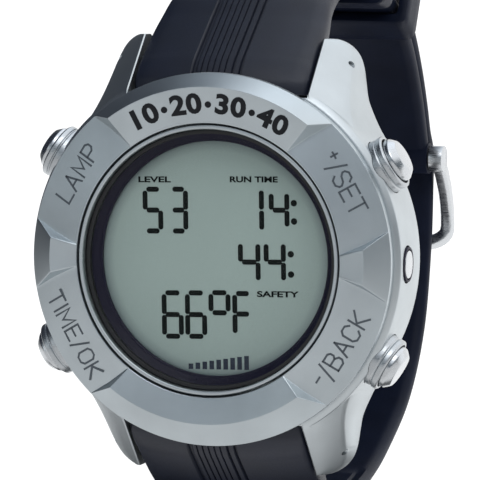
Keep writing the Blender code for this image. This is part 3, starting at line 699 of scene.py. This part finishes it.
def bezel_sections():
    """Inner, outer and ridge angle, ridge radius and ridge height of each bezel section."""
    depth = (RIDGE_R - BEZEL_IN) / (BEZEL_OUT - BEZEL_IN)
    slope_z = lerp(BEZEL_LIP, BEZEL_RIM, depth)
    tab_steps = 30
    sections = []
    for quarter in range(4):
        near, far, reach, spread_near, spread_far, roof_steps = (
            (90.0 - TAB_END, 90.0 - TAB_START, 90.0 + TAB_START, END_SPREAD, START_SPREAD, 22)
            if quarter % 2 else
            (TAB_START, TAB_END, 180.0 - TAB_END, START_SPREAD, END_SPREAD, 44))
        before = RIDGE_R_TWELVE if quarter == 1 else RIDGE_R
        after = RIDGE_R_TWELVE if quarter == 0 else RIDGE_R
        start, end = near - spread_near, far + spread_far
        rows = [(start, near, near - WALL_LEAN, before, RIDGE_TOP)]
        for i in range(tab_steps + 1):
            inner, outer = lerp(start, end, i / tab_steps), lerp(near, far, i / tab_steps)
            rows.append((inner, outer, lerp(inner, outer, depth), RIDGE_R, slope_z))
        for i in range(roof_steps):
            share = i / roof_steps
            rows.append((lerp(end, reach - spread_far, share), lerp(far, reach, share),
                         lerp(far + WALL_LEAN, reach - WALL_LEAN, share), after, RIDGE_TOP))
        base = 90.0 * quarter
        sections += [(base + inner, base + outer, base + apex, r, z)
                     for inner, outer, apex, r, z in rows]
    return sections


def bezel_ring(mat):
    """Bezel with real bevels and the function marks cut into its four tabs."""
    rings = [[polar(BEZEL_IN, inner, BEZEL_BOTTOM), polar(BEZEL_IN, inner, BEZEL_LIP),
              polar(ridge_r, apex, ridge_z), polar(BEZEL_OUT, outer, BEZEL_RIM),
              polar(BEZEL_OUT, outer, BEZEL_BOTTOM + 0.25),
              polar(BEZEL_OUT - 0.3, outer, BEZEL_BOTTOM)]
             for inner, outer, apex, ridge_r, ridge_z in bezel_sections()]
    bm = skin(rings, loop=True)
    bmesh.ops.remove_doubles(bm, verts=bm.verts, dist=0.001)
    bmesh.ops.dissolve_degenerate(bm, edges=bm.edges, dist=0.001)
    bmesh.ops.recalc_face_normals(bm, faces=bm.faces)
    mesh = bevelled(finished_mesh(bm, 12), 0.11, 14.0, 20)
    grooves = [(CUT, bm) for bm in tab_marks(0.28, -0.14, 0.3)]
    mesh = even_shading(combine(mesh, grooves, 22))
    show("bezel_ring", mesh, mat, ["bezel"])


# Corners of each stroke of a letter 6 units high; | parts the strokes
STROKES = {
    "L": "0,6 0,0 3.5,0",
    "A": "0,0 2.05,6 | 2.05,6 4.1,0 | 1,2 3.1,2",
    "M": "0,0 0,6 2.3,1.6 4.6,6 4.6,0",
    "P": "0,0 0,6 | 0,6 2.8,6 3.8,5.1 3.8,3.7 2.8,2.8 0,2.8",
    "+": "0,4.4 0.75,4.4 | 1.05,5.5 1.05,3.3 | 1.35,4.4 2.1,4.4",
    "-": "0,4.2 2,4.2",
    "/": "0,-0.5 2.3,6.5",
    "S": "3.8,4.9 2.9,6 1,6 0,5 0,4.1 1,3.2 2.9,2.8 3.8,1.9 3.8,1 2.8,0 1,0 0,1.1",
    "E": "3.5,6 0,6 0,0 3.5,0 | 0.35,3.1 3,3.1",
    "T": "0,6 4,6 | 2,5.65 2,0",
    "B": "0,0 0,6 | 0,6 2.8,6 3.6,5.2 3.6,4 2.8,3.2 0,3.2 | 2.8,3.2 4,2.2 4,0.9 3,0 0,0",
    "C": "3.9,4.8 2.9,6 1.1,6 0,4.9 0,1.1 1.1,0 2.9,0 3.9,1.2",
    "K": "0,6 0,0 | 3.7,6 0.5,3.1 3.9,0",
    "I": "0,6 0,0",
    "O": "1.1,6 2.9,6 4,4.9 4,1.1 2.9,0 1.1,0 0,1.1 0,4.9 1.1,6"}


def ribbon_bm(points, width, low, high):
    """A flat stroke of even width along points; it closes if the last point is the first."""
    spots = [Vector(p) for p in points]
    closed = (spots[0] - spots[-1]).length < 1e-6
    if closed:
        spots = spots[:-1]
    count = len(spots)
    sides = []
    for i, spot in enumerate(spots):
        before = spot - spots[i - 1] if closed or i > 0 else spots[1] - spot
        after = spots[(i + 1) % count] - spot if closed or i < count - 1 else before
        before, after = before.normalized(), after.normalized()
        across = Vector((-before.y - after.y, before.x + after.x)).normalized()
        reach = width / 2 / max(0.5, across.dot(Vector((-before.y, before.x))))
        if not closed and i in (0, count - 1):
            spot = spot + before * (width / 2 if i else -width / 2)
        sides.append((spot + across * reach, spot - across * reach))
    rings = [[(a.x, a.y, low), (b.x, b.y, low), (b.x, b.y, high), (a.x, a.y, high)]
             for a, b in sides]
    return skin(rings, closed, not closed)


def strokes_of(char):
    """Strokes of a letter as lists of points."""
    return [[tuple(float(n) for n in spot.split(",")) for spot in line.split()]
            for line in STROKES[char].split("|")]


def tab_marks(width, low, high):
    """Strokes of the four function words, laid on the label tabs between two heights."""
    incline = (BEZEL_RIM - BEZEL_LIP) / (BEZEL_OUT - BEZEL_IN)
    middle, size, gap = 20.75, 2.3, 1.5
    height = BEZEL_LIP + (middle - BEZEL_IN) * incline
    scale = size / 6
    strokes = []
    for text, angle, inward in TAB_WORDS:
        words = [strokes_of(char) for char in text]
        widths = [max(x for line in lines for x, _ in line) for lines in words]
        x = -(sum(widths) + gap * (len(text) - 1)) / 2
        place = dial_place(middle, angle, height, incline, inward)
        for lines, advance in zip(words, widths):
            for line in lines:
                points = [((x + a) * scale, (b - 3) * scale) for a, b in line]
                # The depths differ a little, so that no two strokes share a bottom plane
                depth = low - 0.004 * (len(strokes) % 5)
                strokes.append(moved(ribbon_bm(points, width, depth, high), place))
            x += advance + gap
    return strokes


def bezel_words(mat):
    """Painted shade: a dark layer at the bottom of the engraved strokes, where the grooves lie in
    shade.
    """
    show("bezel_words", merge(tab_marks(0.24, -0.12, -0.05)), mat)


def bezel_scale(mat):
    """Black numerals and dots on the inner slope at 12 o'clock."""
    incline = (RIDGE_TOP - BEZEL_LIP) / (RIDGE_R_TWELVE - BEZEL_IN)
    middle, pitch = 20.0, 17.0
    height = BEZEL_LIP + (middle - BEZEL_IN) * incline
    marks = [(letters(number, 3.5, 0.10, 0.13, 1.08, 1.15), 115.5 - pitch * i)
             for i, number in enumerate(("10", "20", "30", "40"))]
    marks += [(disc(0.42, 0.05, -0.05, 0.02, 32), 107.0 - pitch * i) for i in range(3)]
    pieces = [moved(bm, dial_place(middle, angle, height + 0.02, incline)) for bm, angle in marks]
    show("bezel_scale", merge(pieces), mat)


# ---- display

def display_stack(glass, seal, gloss):
    """Glass, gasket, the dark flange and the display behind them."""
    gasket = soften(stairs(16.2, 13.9, 16.7, 13.0, 16.2), 0.1)
    flange = [(15.15, 11.9), (15.3, 12.05), (15.42, 12.05), (15.5, 12.12), (16.6, 12.75),
              (16.6, 11.45), (15.15, 11.45)]
    show("crystal_glass", disc(16.0, 14.1, 12.9, 0.25), glass, ["crystal"])
    show("gasket_ring", lathe(gasket), seal, ["crystal_gasket"])
    show("flange_ring", lathe(flange), gloss, ["dial_ring"])
    show("display_panel", disc(15.3, DISPLAY_TOP, 10.0, 0.1), display_material(),
         ["lcd_panel"])


SEGMENTS = {"3": "abcdg", "4": "bcfg", "5": "acdfg", "6": "acdefg", "F": "aefg"}
STROKE, INK_THICK = 0.66, 0.03


def stroke_bm(start, end):
    """One flat segment of a digit on the display: a bar with blunt pointed ends."""
    start, end = Vector((*start, 0)), Vector((*end, 0))
    along = (end - start).normalized()
    side = Vector((-along.y, along.x, 0)) * STROKE / 2
    nip = along * STROKE * 0.32
    outline = [start + side * 0.45, start + nip + side, end - nip + side, end + side * 0.45,
               end - side * 0.45, end - nip - side, start + nip - side, start - side * 0.45]
    return skin([[(p.x, p.y, z) for p in outline]
                 for z in (DISPLAY_TOP, DISPLAY_TOP + INK_THICK)], caps=True)


def digit(char, x, y, width, height):
    """Segments of one character, centred at x, y."""
    w, h = (width - STROKE) / 2, (height - STROKE) / 2
    nick, corner = STROKE * 0.10, STROKE * 0.30
    upper, lower = (y + nick, y + h - corner), (y - h + corner, y - nick)
    ends = {name: ((x - w + corner, at), (x + w - corner, at))
            for name, at in (("a", y + h), ("g", y), ("d", y - h))}
    for name, at, span in (("f", x - w, upper), ("b", x + w, upper), ("e", x - w, lower),
                           ("c", x + w, lower)):
        ends[name] = [(at, end) for end in span]
    return [stroke_bm(*ends[name]) for name in SEGMENTS[char]]


def display_marks(ink, ink_blue):
    """Digits, small captions and the bar graph on the display."""
    pieces = []
    for place in (("5", -8.41, 6.17, 2.75, 6.05), ("3", -4.95, 6.19, 2.6, 6.05),
                  ("4", 8.58, 6.26, 2.74, 5.2), ("4", 4.49, -0.44, 3.0, 5.65),
                  ("4", 7.91, -0.42, 2.95, 5.65), ("6", -5.95, -7.33, 2.95, 6.28),
                  ("6", -2.79, -7.30, 2.95, 6.28), ("F", 3.50, -7.15, 2.75, 5.95)):
        pieces += digit(*place)
    one_x, one_y, one_half = 6.23, 6.26, 2.6
    top, low, left, right = -4.43, -7.02, -0.75, 1.55
    for ends in (((one_x, one_y + 0.08), (one_x, one_y + one_half - 0.1)),
                 ((one_x, one_y - one_half + 0.1), (one_x, one_y - 0.08)),
                 ((left + 0.2, top), (right - 0.2, top)), ((left + 0.2, low), (right - 0.2, low)),
                 ((left, low + 0.2), (left, top - 0.2)), ((right, low + 0.2), (right, top - 0.2))):
        pieces.append(stroke_bm(*ends))
    for x, y, gap in ((10.55, 6.0, 1.17), (10.05, -0.68, 1.3)):
        for step in (gap, -gap):
            dot = lathe([(0, INK_THICK), (0.42, INK_THICK), (0.42, 0), (0, 0)], 24)
            pieces.append(moved(dot, Matrix.Translation((x, y + step, DISPLAY_TOP))))
    words = []
    for text, x, y, width in (("LEVEL", -8.18, 10.1, 4.4), ("RUN TIME", 5.21, 10.15, 6.4),
                              ("SAFETY", 8.2, -4.58, 5.6)):
        bm = letters(text, 1.0, 0.04, 0.030)
        across = [v.co.x for v in bm.verts]
        factor = width / (max(across) - min(across))
        bmesh.ops.scale(bm, vec=(factor, 1.03, 1), verts=bm.verts)
        words.append(moved(bm, Matrix.Translation((x, y, DISPLAY_TOP + 0.02))))
    bars = []
    for i in range(9):
        height = 0.7 + 1.1 * i / 8
        x, foot = -3.9 + 0.94 * i, -14.35
        bars.append(block_bm((x, foot, DISPLAY_TOP),
                             (x + 0.62, foot + height, DISPLAY_TOP + INK_THICK)))
    lean = Matrix.Rotation(radians(1.8), 4, "Z")
    for name, marks, mat in (("digits", pieces, ink), ("captions", words, ink),
                             ("bars", bars, ink_blue)):
        show("display_" + name, moved(merge(marks), lean), mat)


def flange_ticks(mat):
    """Fine raised ticks on the dark flange at 6 o'clock."""
    pieces = [moved(block_bm((-0.12, -0.5, -0.02), (0.12, 0.5, 0.05)),
                    dial_place(16.05, 259.6 + 2.6 * i, 12.44, 0.63 / 1.1))
              for i in range(9)]
    show("flange_ticks", merge(pieces), mat)


# ---- buttons and contact

def outward(degrees, height):
    """Frame of something in the case side: its Z points out at an angle round the dial."""
    turn = Matrix.Rotation(radians(degrees), 4, "Z") @ Matrix.Rotation(radians(90), 4, "Y")
    return Matrix.Translation((0, 0, height)) @ turn


def button(name, angle, bright, turned):
    """Collar and cap of one push button."""
    place = outward(angle, BUTTON_Z)
    collar = soften([(3.15, 26.3), (3.42, 26.3), (3.6, 26.12), (3.6, 25.55), (3.5, 25.45),
                     (3.5, 25.3), (3.6, 25.2), (3.6, 22.1), (3.15, 22.1)], 0.08)
    show("collar_" + name, moved(lathe(collar, 96), place), turned,
         ["button_collar_" + name])
    cap = soften([(0, 27.65), (2.15, 27.65), (2.92, 26.85), (2.92, 25.5), (0.95, 25.5),
                  (0.95, 19.9), (0, 19.9)], 0.16, False)
    show("cap_" + name, moved(lathe(cap, 96), place), bright,
         ["button_cap_" + name], "button_" + name)


def water_contact(bright, gloss):
    """Contact stud and its insulating ring at 3 o'clock."""
    place = outward(0, CONTACT_Z)
    stud = soften(stairs(0, 25.0, 1.8, 23.4, 0.6, 20.8, 0), 0.15, False)
    show("contact_disc", moved(lathe(stud, 72), place), bright, ["contact_stud"])
    ring = soften(stairs(1.95, 24.95, 2.25, 23.4, 1.95), 0.06)
    show("contact_insulator", moved(lathe(ring, 72), place), gloss, ["contact_ring"])


# ---- case back

def back_plate(mat):
    """Case back with stepped rings, screw seats and the pressure port."""
    outline = stairs(0, 1.0, 17.6, 3.4, 20.0, 2.85, 19.05, 1.65, 20.0, 1.0, 24.0, 0.0, 20.4, 0.12,
                     20.1, 0.0, 13.2, 0.1, 12.9, 0.0, 0)
    tools = [(CUT, rod_bm(0.6, (0, PORT_Y, -1), (0, PORT_Y, 2)))]
    for angle in SCREW_ANGLES:
        tools += [(CUT, screw_rod(1.4, -1, 0.95, angle, 48)), (CUT, screw_rod(1.0, 0, 3, angle))]
    mesh = combine(lathe(soften(outline, 0.12, False, 2)), tools)
    show("back_plate", mesh, mat, ["case_back"])


# ---- strap

def smooth_line(knots, steps):
    """Points of a smooth curve through the knots; the first and last knot only steer it."""
    spots = [Vector((0, y, z)) for y, z in knots]
    line = [spots[1]]
    for before, start, end, after in zip(spots, spots[1:], spots[2:], spots[3:]):
        pull_start = start + (end - before) / 6
        pull_end = end - (after - start) / 6
        line += interpolate_bezier(start, pull_start, pull_end, end, steps + 1)[1:]
    return line


def frames(line):
    """Point, tangent and outward normal along a line in the (y, z) plane."""
    middle = Vector((0, 0, -28))
    result = []
    for i, spot in enumerate(line):
        ahead, behind = line[min(i + 1, len(line) - 1)], line[max(i - 1, 0)]
        tangent = (ahead - behind).normalized()
        normal = Vector((0, -tangent.z, tangent.y))
        if normal.dot(spot - middle) < 0:
            normal = -normal
        result.append((spot, tangent, normal))
    return result


def ease(share, start, end, low, high):
    """Blend from start to end as the share goes from low to high."""
    t = min(max((share - low) / (high - low), 0), 1)
    return start + (end - start) * t * t * (3 - 2 * t)


def lower_line(steps):
    """Centre line of the 6 o'clock half, which ends lying on the upper half."""
    upper = frames(smooth_line(UPPER_LINE, COARSE))
    first, last = round(TAIL_END_SPAN * COARSE), 11 * COARSE
    overlap = [spot + normal * OVERLAP_GAP for spot, _, normal in upper[first:last:3]]
    return smooth_line(LOWER_LINE + [(p.y, p.z) for p in reversed(overlap)], steps)


# Place across the strap, width and depth of each groove
GROOVES = [(-3.45, 0.62, 0.5), *((x, 0.18, 0.24) for x in (-2.45, -1.65, -0.85, -0.05, 0.75)),
           (1.75, 0.3, 0.4), (2.75, 0.34, 0.42)]


def outer_profile(half, groove_depth, crown):
    """Outer face across the strap: (x, height) pairs from left to right, crowned in the middle."""
    edge = [(-half, 0.95), (-half + 0.1, 0.5), (-half + 0.32, 0.18), (-half + 0.7, 0.02)]
    points = edge + [(-half * f, 0) for f in (0.8, 0.64, 0.48, 0.34)]
    for x, width, depth in GROOVES:
        deep = depth * groove_depth
        points += [(x - width * 0.75, 0.0), (x - width * 0.45, deep * 0.35),
                   (x - width * 0.25, deep), (x + width * 0.25, deep),
                   (x + width * 0.45, deep * 0.35), (x + width * 0.75, 0.0)]
    points += [(half * f, 0) for f in (0.34, 0.48, 0.64, 0.8)]
    points += [(-x, drop) for x, drop in reversed(edge)]
    return [(x, crown * (1 - (x / half) ** 2) - drop) for x, drop in points]


def band_frames(line, thickness):
    """Middle, half thickness and thickness direction at each point; the root stands upright."""
    last = len(line) - 1
    upright = Vector((0, 0, 1))
    root_z, root_half = (ROOT_TOP + ROOT_UNDER) / 2, (ROOT_TOP - ROOT_UNDER) / 2
    result = []
    for i, (spot, _, normal) in enumerate(frames(line)):
        half = ease(i / last, *thickness) / 2
        lean = max(0, 1 - i / (FINE * 0.5))
        spot = Vector((0, spot.y, spot.z + (root_z - line[0].z) * lean))
        normal = (normal * (1 - lean) + upright * lean).normalized()
        result.append((spot, half + (root_half - half) * lean, normal))
    first = result[0][0]
    root = Vector((0, copysign(ROOT_REACH, first.y), first.z))
    return [(root, *result[0][1:])] + result


def band_bm(line, width, thickness, groove, pad, crown):
    """Loft a strap half.  Each control holds the values for ease; pad has a rise and a fall."""
    rings = []
    last = len(line) - 1
    for i, (spot, high, normal) in enumerate(band_frames(line, thickness)):
        share = i / last
        half = ease(share, *width)
        step = ease(share, 0, PAD, *pad[:2]) - ease(share, 0, PAD, *pad[2:])
        under = [(half - 0.12, 0.5 - high), (half - 0.5, 0.12 - high), (half - 1.3, step - high),
                 (half - 1.6, step - high), (half - 1.9, -high)]
        section = [(x, high + rise) for x, rise in outer_profile(half, ease(share, *groove),
                                                                 ease(share, *crown))]
        section += under + [(0, -high)] + [(-x, z) for x, z in reversed(under)]
        rings.append([spot + normal * up + Vector((x, 0, 0)) for x, up in section])
    return skin(rings, caps=True)


def strap_place(spot, tangent, normal):
    """Stand a piece on the strap: its Y runs along the strap and its Z points out of the loop."""
    turn = Matrix((tangent.cross(normal), tangent, normal)).transposed().to_4x4()
    return Matrix.Translation(spot) @ turn


def strap_halves(mat):
    """Both rubber halves with ribs, eye, slots and rounded tail."""
    eye = (HINGE_Y, HINGE_Z)
    bm = band_bm(smooth_line(UPPER_LINE, FINE), (STRAP_HALF, BUCKLE_END_HALF, 0.1, 0.45),
                 (ROOT_LAYER, LAYER, 0.0, 0.25), (1.0, 0.0, 0.50, 0.56),
                 (0.06, 0.08, 0.53, 0.55), (CROWN, 0.0, 0.2, 0.5))
    tools = [(JOIN, level_rod(2.2, -10.4, 10.4, *eye, 48)), (CUT, level_rod(1.1, -14, 14, *eye)),
             (CUT, block_bm((-1.6, HINGE_Y - 3.4, HINGE_Z - 3.4),
                            (1.6, HINGE_Y + 2.6, HINGE_Z + 2.6))),
             (CUT, level_rod(1.2, -14, 14, BAR_Y, BAR_Z))]
    show("strap_top", combine(bm, tools, 40), mat, ["strap_upper"])
    line = lower_line(FINE)
    bm = band_bm(line, (STRAP_HALF, TAIL_HALF, 0.1, 0.4), (ROOT_LAYER, TAIL_LAYER, 0.0, 0.2),
                 (1.0, 0.0, 0.33, 0.37), (0.04, 0.06, 0.30, 0.32), (CROWN, 0.0, 0.12, 0.3))
    tools = [(CUT, level_rod(1.2, -14, 14, -BAR_Y, BAR_Z))]
    for slot in slot_places():
        hole = block_bm((-1.4, -2.6, -3), (1.4, 2.6, 3))
        upright = [edge for edge in hole.edges if abs(edge.verts[0].co.z - edge.verts[1].co.z) > 1]
        bmesh.ops.bevel(hole, geom=upright, offset=0.7, segments=4, affect="EDGES")
        tools.append((CUT, moved(hole, strap_place(*slot))))
    spot, tangent, normal = frames(line)[-1]
    cut = moved(block_bm((-14, -7.0, -5), (14, 8, 5)), strap_place(spot, tangent, normal))
    keep = moved(rod_bm(TAIL_HALF, (0, 0, -4), (0, 0, 4), 96),
                 strap_place(spot - tangent * (TAIL_HALF + 0.2), tangent, normal))
    tools.append((CUT, combine(cut, [(CUT, keep)])))
    show("strap_tail", combine(bm, tools, 40), mat, ["strap_lower"])


def slot_places():
    """The same slot places as in the frame, read along the coarse line."""
    line = lower_line(COARSE)
    data = frames(line)
    nearest = min(range(len(line)), key=lambda i: abs(line[i].y - SLOT_Y) + abs(line[i].z - SLOT_Z))
    places = [data[nearest]]
    for direction in (-1, 1):
        travelled, i, made = 0.0, nearest, 0
        while made < 3 and 1 < i < len(line) - 2:
            travelled += (line[i + direction] - line[i]).length
            i += direction
            if travelled >= SLOT_PITCH:
                places.append(data[i])
                travelled = 0.0
                made += 1
    return places


def keeper(name, node, body, span, length, mat):
    """A rounded rubber loop round both layers."""
    spot, tangent, normal = frames(smooth_line(UPPER_LINE, COARSE))[round(span * COARSE)]
    place = strap_place(spot + normal * (OVERLAP_GAP / 2), tangent, normal)
    inner, outer = rounded_box(10.75, 3.05, 0.6), rounded_box(12.1, 4.4, 1.6)
    half = length / 2
    edge = [(half - 0.1, 0.0), (half, 0.2), (half, 0.7), (half - 0.08, 0.88), (half - 0.35, 1.0)]
    profile = [(-y, grow) for y, grow in reversed(edge)] + edge
    profile += [(half * 0.4, 1.0), (0, 1.0), (-half * 0.4, 1.0)]
    rings = [[(lerp(a[0], b[0], grow), y, lerp(a[1], b[1], grow)) for a, b in zip(inner, outer)]
             for y, grow in profile]
    show(name, moved(skin(rings, loop=True), place), mat, [node], body)


# ---- buckle

def swept(points, lean, section):
    """Sweep a section along points from the hinge; lean is roughly the section's height axis."""
    spots = [HINGE + Vector(p) for p in points]
    rings = []
    for i, spot in enumerate(spots):
        tangent = (spots[min(i + 1, len(spots) - 1)] - spots[max(i - 1, 0)]).normalized()
        side = tangent.cross(Vector(lean)).normalized()
        up = side.cross(tangent).normalized()
        rings.append([spot + side * a + up * b for a, b in section])
    return skin(rings, caps=True)


def buckle(mat):
    """Buckle frame and tongue, with bosses round the hinge bar."""
    down, out = -3.4 - HINGE_Y, -63.3 - HINGE_Z
    arm_x, corner = 11.5, 3.0
    arm = [(arm_x, 0.5, 0.9), (arm_x, 0.0, 0.0), (arm_x, -1.0, -1.5), (arm_x, -2.4, -3.1),
           (arm_x, -4.6, -4.9), (arm_x, -6.6, -6.0), (arm_x, -8.2, -6.6),
           (arm_x, down + 2.6, out - 0.38)]
    for i in range(1, 9):
        angle = radians(90 * i / 8)
        arm.append((arm_x - corner + corner * cos(angle),
                    down + 2.2 - 2.2 * sin(angle), out - 0.35 * cos(angle)))
    path = arm + [(-x, y, z) for x, y, z in reversed(arm)]
    eye = (HINGE_Y, HINGE_Z)
    tools = [(JOIN, level_rod(1.85, side * 10.65, side * 12.55, *eye, 48)) for side in (1, -1)]
    tools.append((CUT, level_rod(1.1, -12.43, 12.43, *eye)))
    mesh = combine(swept(path, (0, -0.45, -0.9), rounded_box(0.85, 1.0, 0.45)), tools, 35)
    show("buckle_loop", bevelled(mesh, 0.15, 40), mat, ["buckle_frame"],
         "buckle_frame_body")
    rise = [(0.6, 1.0), (0, -1.0), (-1.4, -3.2), (-2.6, -5.6), (-4.0, -6.7), (-6.5, -7.1),
            (-9.5, -7.9), (down - 1.3, out - 1.95), (-15.5, -8.0)]
    bent = smooth_line(rise, 6)
    tools = [(JOIN, level_rod(1.75, -1.2, 1.2, *eye, 48)), (CUT, level_rod(1.1, -3, 3, *eye))]
    mesh = combine(swept(bent, (0, -0.4, -0.9), rounded_box(0.75, 0.62, 0.4)), tools, 35)
    show("buckle_pin", mesh, mat, ["buckle_tongue"], "buckle_tongue_body")


# ---- carried-over CAD nodes

def coat(mesh, mat):
    """Give a mesh one material."""
    mesh.materials.clear()
    mesh.materials.append(mat)


def inner_parts(bar_steel, seal):
    """Materials of the parts that stay as the frame has them."""
    pins = ["spring_pin_%s_%s" % (a, b) for a in ("upper", "lower") for b in ("left", "right")]
    orings, springs = (["button_%s_%s" % (kind, k) for k in BUTTONS]
                       for kind in ("oring", "spring"))
    stripes = Shade("contact_rubber", (0.7, 0.35, 0.4), 0.6)
    bands = stripes.noise(1.0, 0, stripes.stretched((4000, 1, 1)))
    stripes.set(("Base Color", stripes.mix(stripes.spread(bands, 0, 1, 0.45, 0.55),
                                           (0.05, 0.05, 0.05, 1), (0.7, 0.35, 0.4, 1))))
    for nodes, mat in (
            (["spring_bar_upper", "spring_bar_lower", "buckle_bar"] + pins, bar_steel),
            (["case_back_screw_%d" % i for i in range(1, 5)],
             brushed_steel("screw_steel", (0.6, 0.6, 0.6), 0.3)),
            (orings + ["case_back_gasket", "sensor_seal"], seal),
            (springs + ["battery_clip"], brushed_steel("spring_steel", (0.65, 0.65, 0.66), 0.25)),
            (["battery", "pressure_sensor"], brushed_steel("can_steel", (0.7, 0.7, 0.7), 0.25)),
            (["buzzer_disc"], brushed_steel("sounder_brass", (0.75, 0.58, 0.28), 0.35)),
            (["module_frame"], plastic("module_plastic", (0.05, 0.05, 0.06), 0.5)),
            (["processor"], plastic("chip_black", (0.02, 0.02, 0.025), 0.4)),
            (["backlight_panel"], plastic("light_guide", (0.8, 0.82, 0.78), 0.4)),
            (["circuit_board"], plastic("solder_mask", (0.02, 0.16, 0.08), 0.35, 1500, 0.01)),
            (["zebra_strip_twelve", "zebra_strip_six"], stripes.mat)):
        for name in nodes:
            coat(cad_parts[name].data, mat)


# ---- build

def main():
    """Build the whole picture."""
    camera()
    studio()
    bright = brushed_steel("cap_steel", (0.64, 0.66, 0.68), 0.2)
    collar_steel = brushed_steel("collar_steel", (0.54, 0.565, 0.585), 0.3)
    bar_steel = brushed_steel("bar_steel", (0.58, 0.59, 0.6), 0.35)
    keeper_mat = rubber("keeper_rubber", (0.0058, 0.0085, 0.0195), 0.42)
    seal = rubber("seal_rubber", (0.012, 0.012, 0.013), 0.55)
    gloss = plastic("flange_gloss", (0.0075, 0.0065, 0.022), 0.5, 3000, 0.0003, 0.25)
    scale_ink = plastic("scale_ink", (0.006, 0.007, 0.010), 0.45, 5000, 0.002, 0.25)
    ink = plastic("display_ink", (0.005, 0.008, 0.007), 0.5, 5000, 0.001, 0.1)
    ink_blue = plastic("display_print", (0.012, 0.022, 0.045), 0.4)
    case_shell(blasted_steel("case_steel", (0.56, 0.60, 0.62), 0.40))
    bezel_ring(blasted_steel("bezel_steel", (0.54, 0.59, 0.615), 0.38))
    bezel_scale(scale_ink)
    # The dark layer in the engraved strokes is painted shade.
    bezel_words(plastic("engraving_painted_shade", (0.075, 0.09, 0.105), 0.5))
    display_stack(glass_material(), seal, gloss)
    display_marks(ink, ink_blue)
    flange_ticks(gloss)
    for name, angle in BUTTONS.items():
        button(name, angle, bright, collar_steel)
    water_contact(bright, gloss)
    back_plate(turned_steel("back_steel", (0.58, 0.6, 0.62), 0.3))
    strap_halves(rubber("strap_rubber", (0.0058, 0.0085, 0.0195), 0.46))
    for kind, body, span, length in (("fixed", "root", FIXED_KEEPER_SPAN, 6.0),
                                     ("free", "keeper_free_body", FREE_KEEPER_SPAN, 5.0)):
        keeper("keeper_loop_" + kind, "keeper_" + kind, body, span, length, keeper_mat)
    buckle(brushed_steel("buckle_steel", (0.62, 0.64, 0.66), 0.28))
    inner_parts(bar_steel, seal)


main()
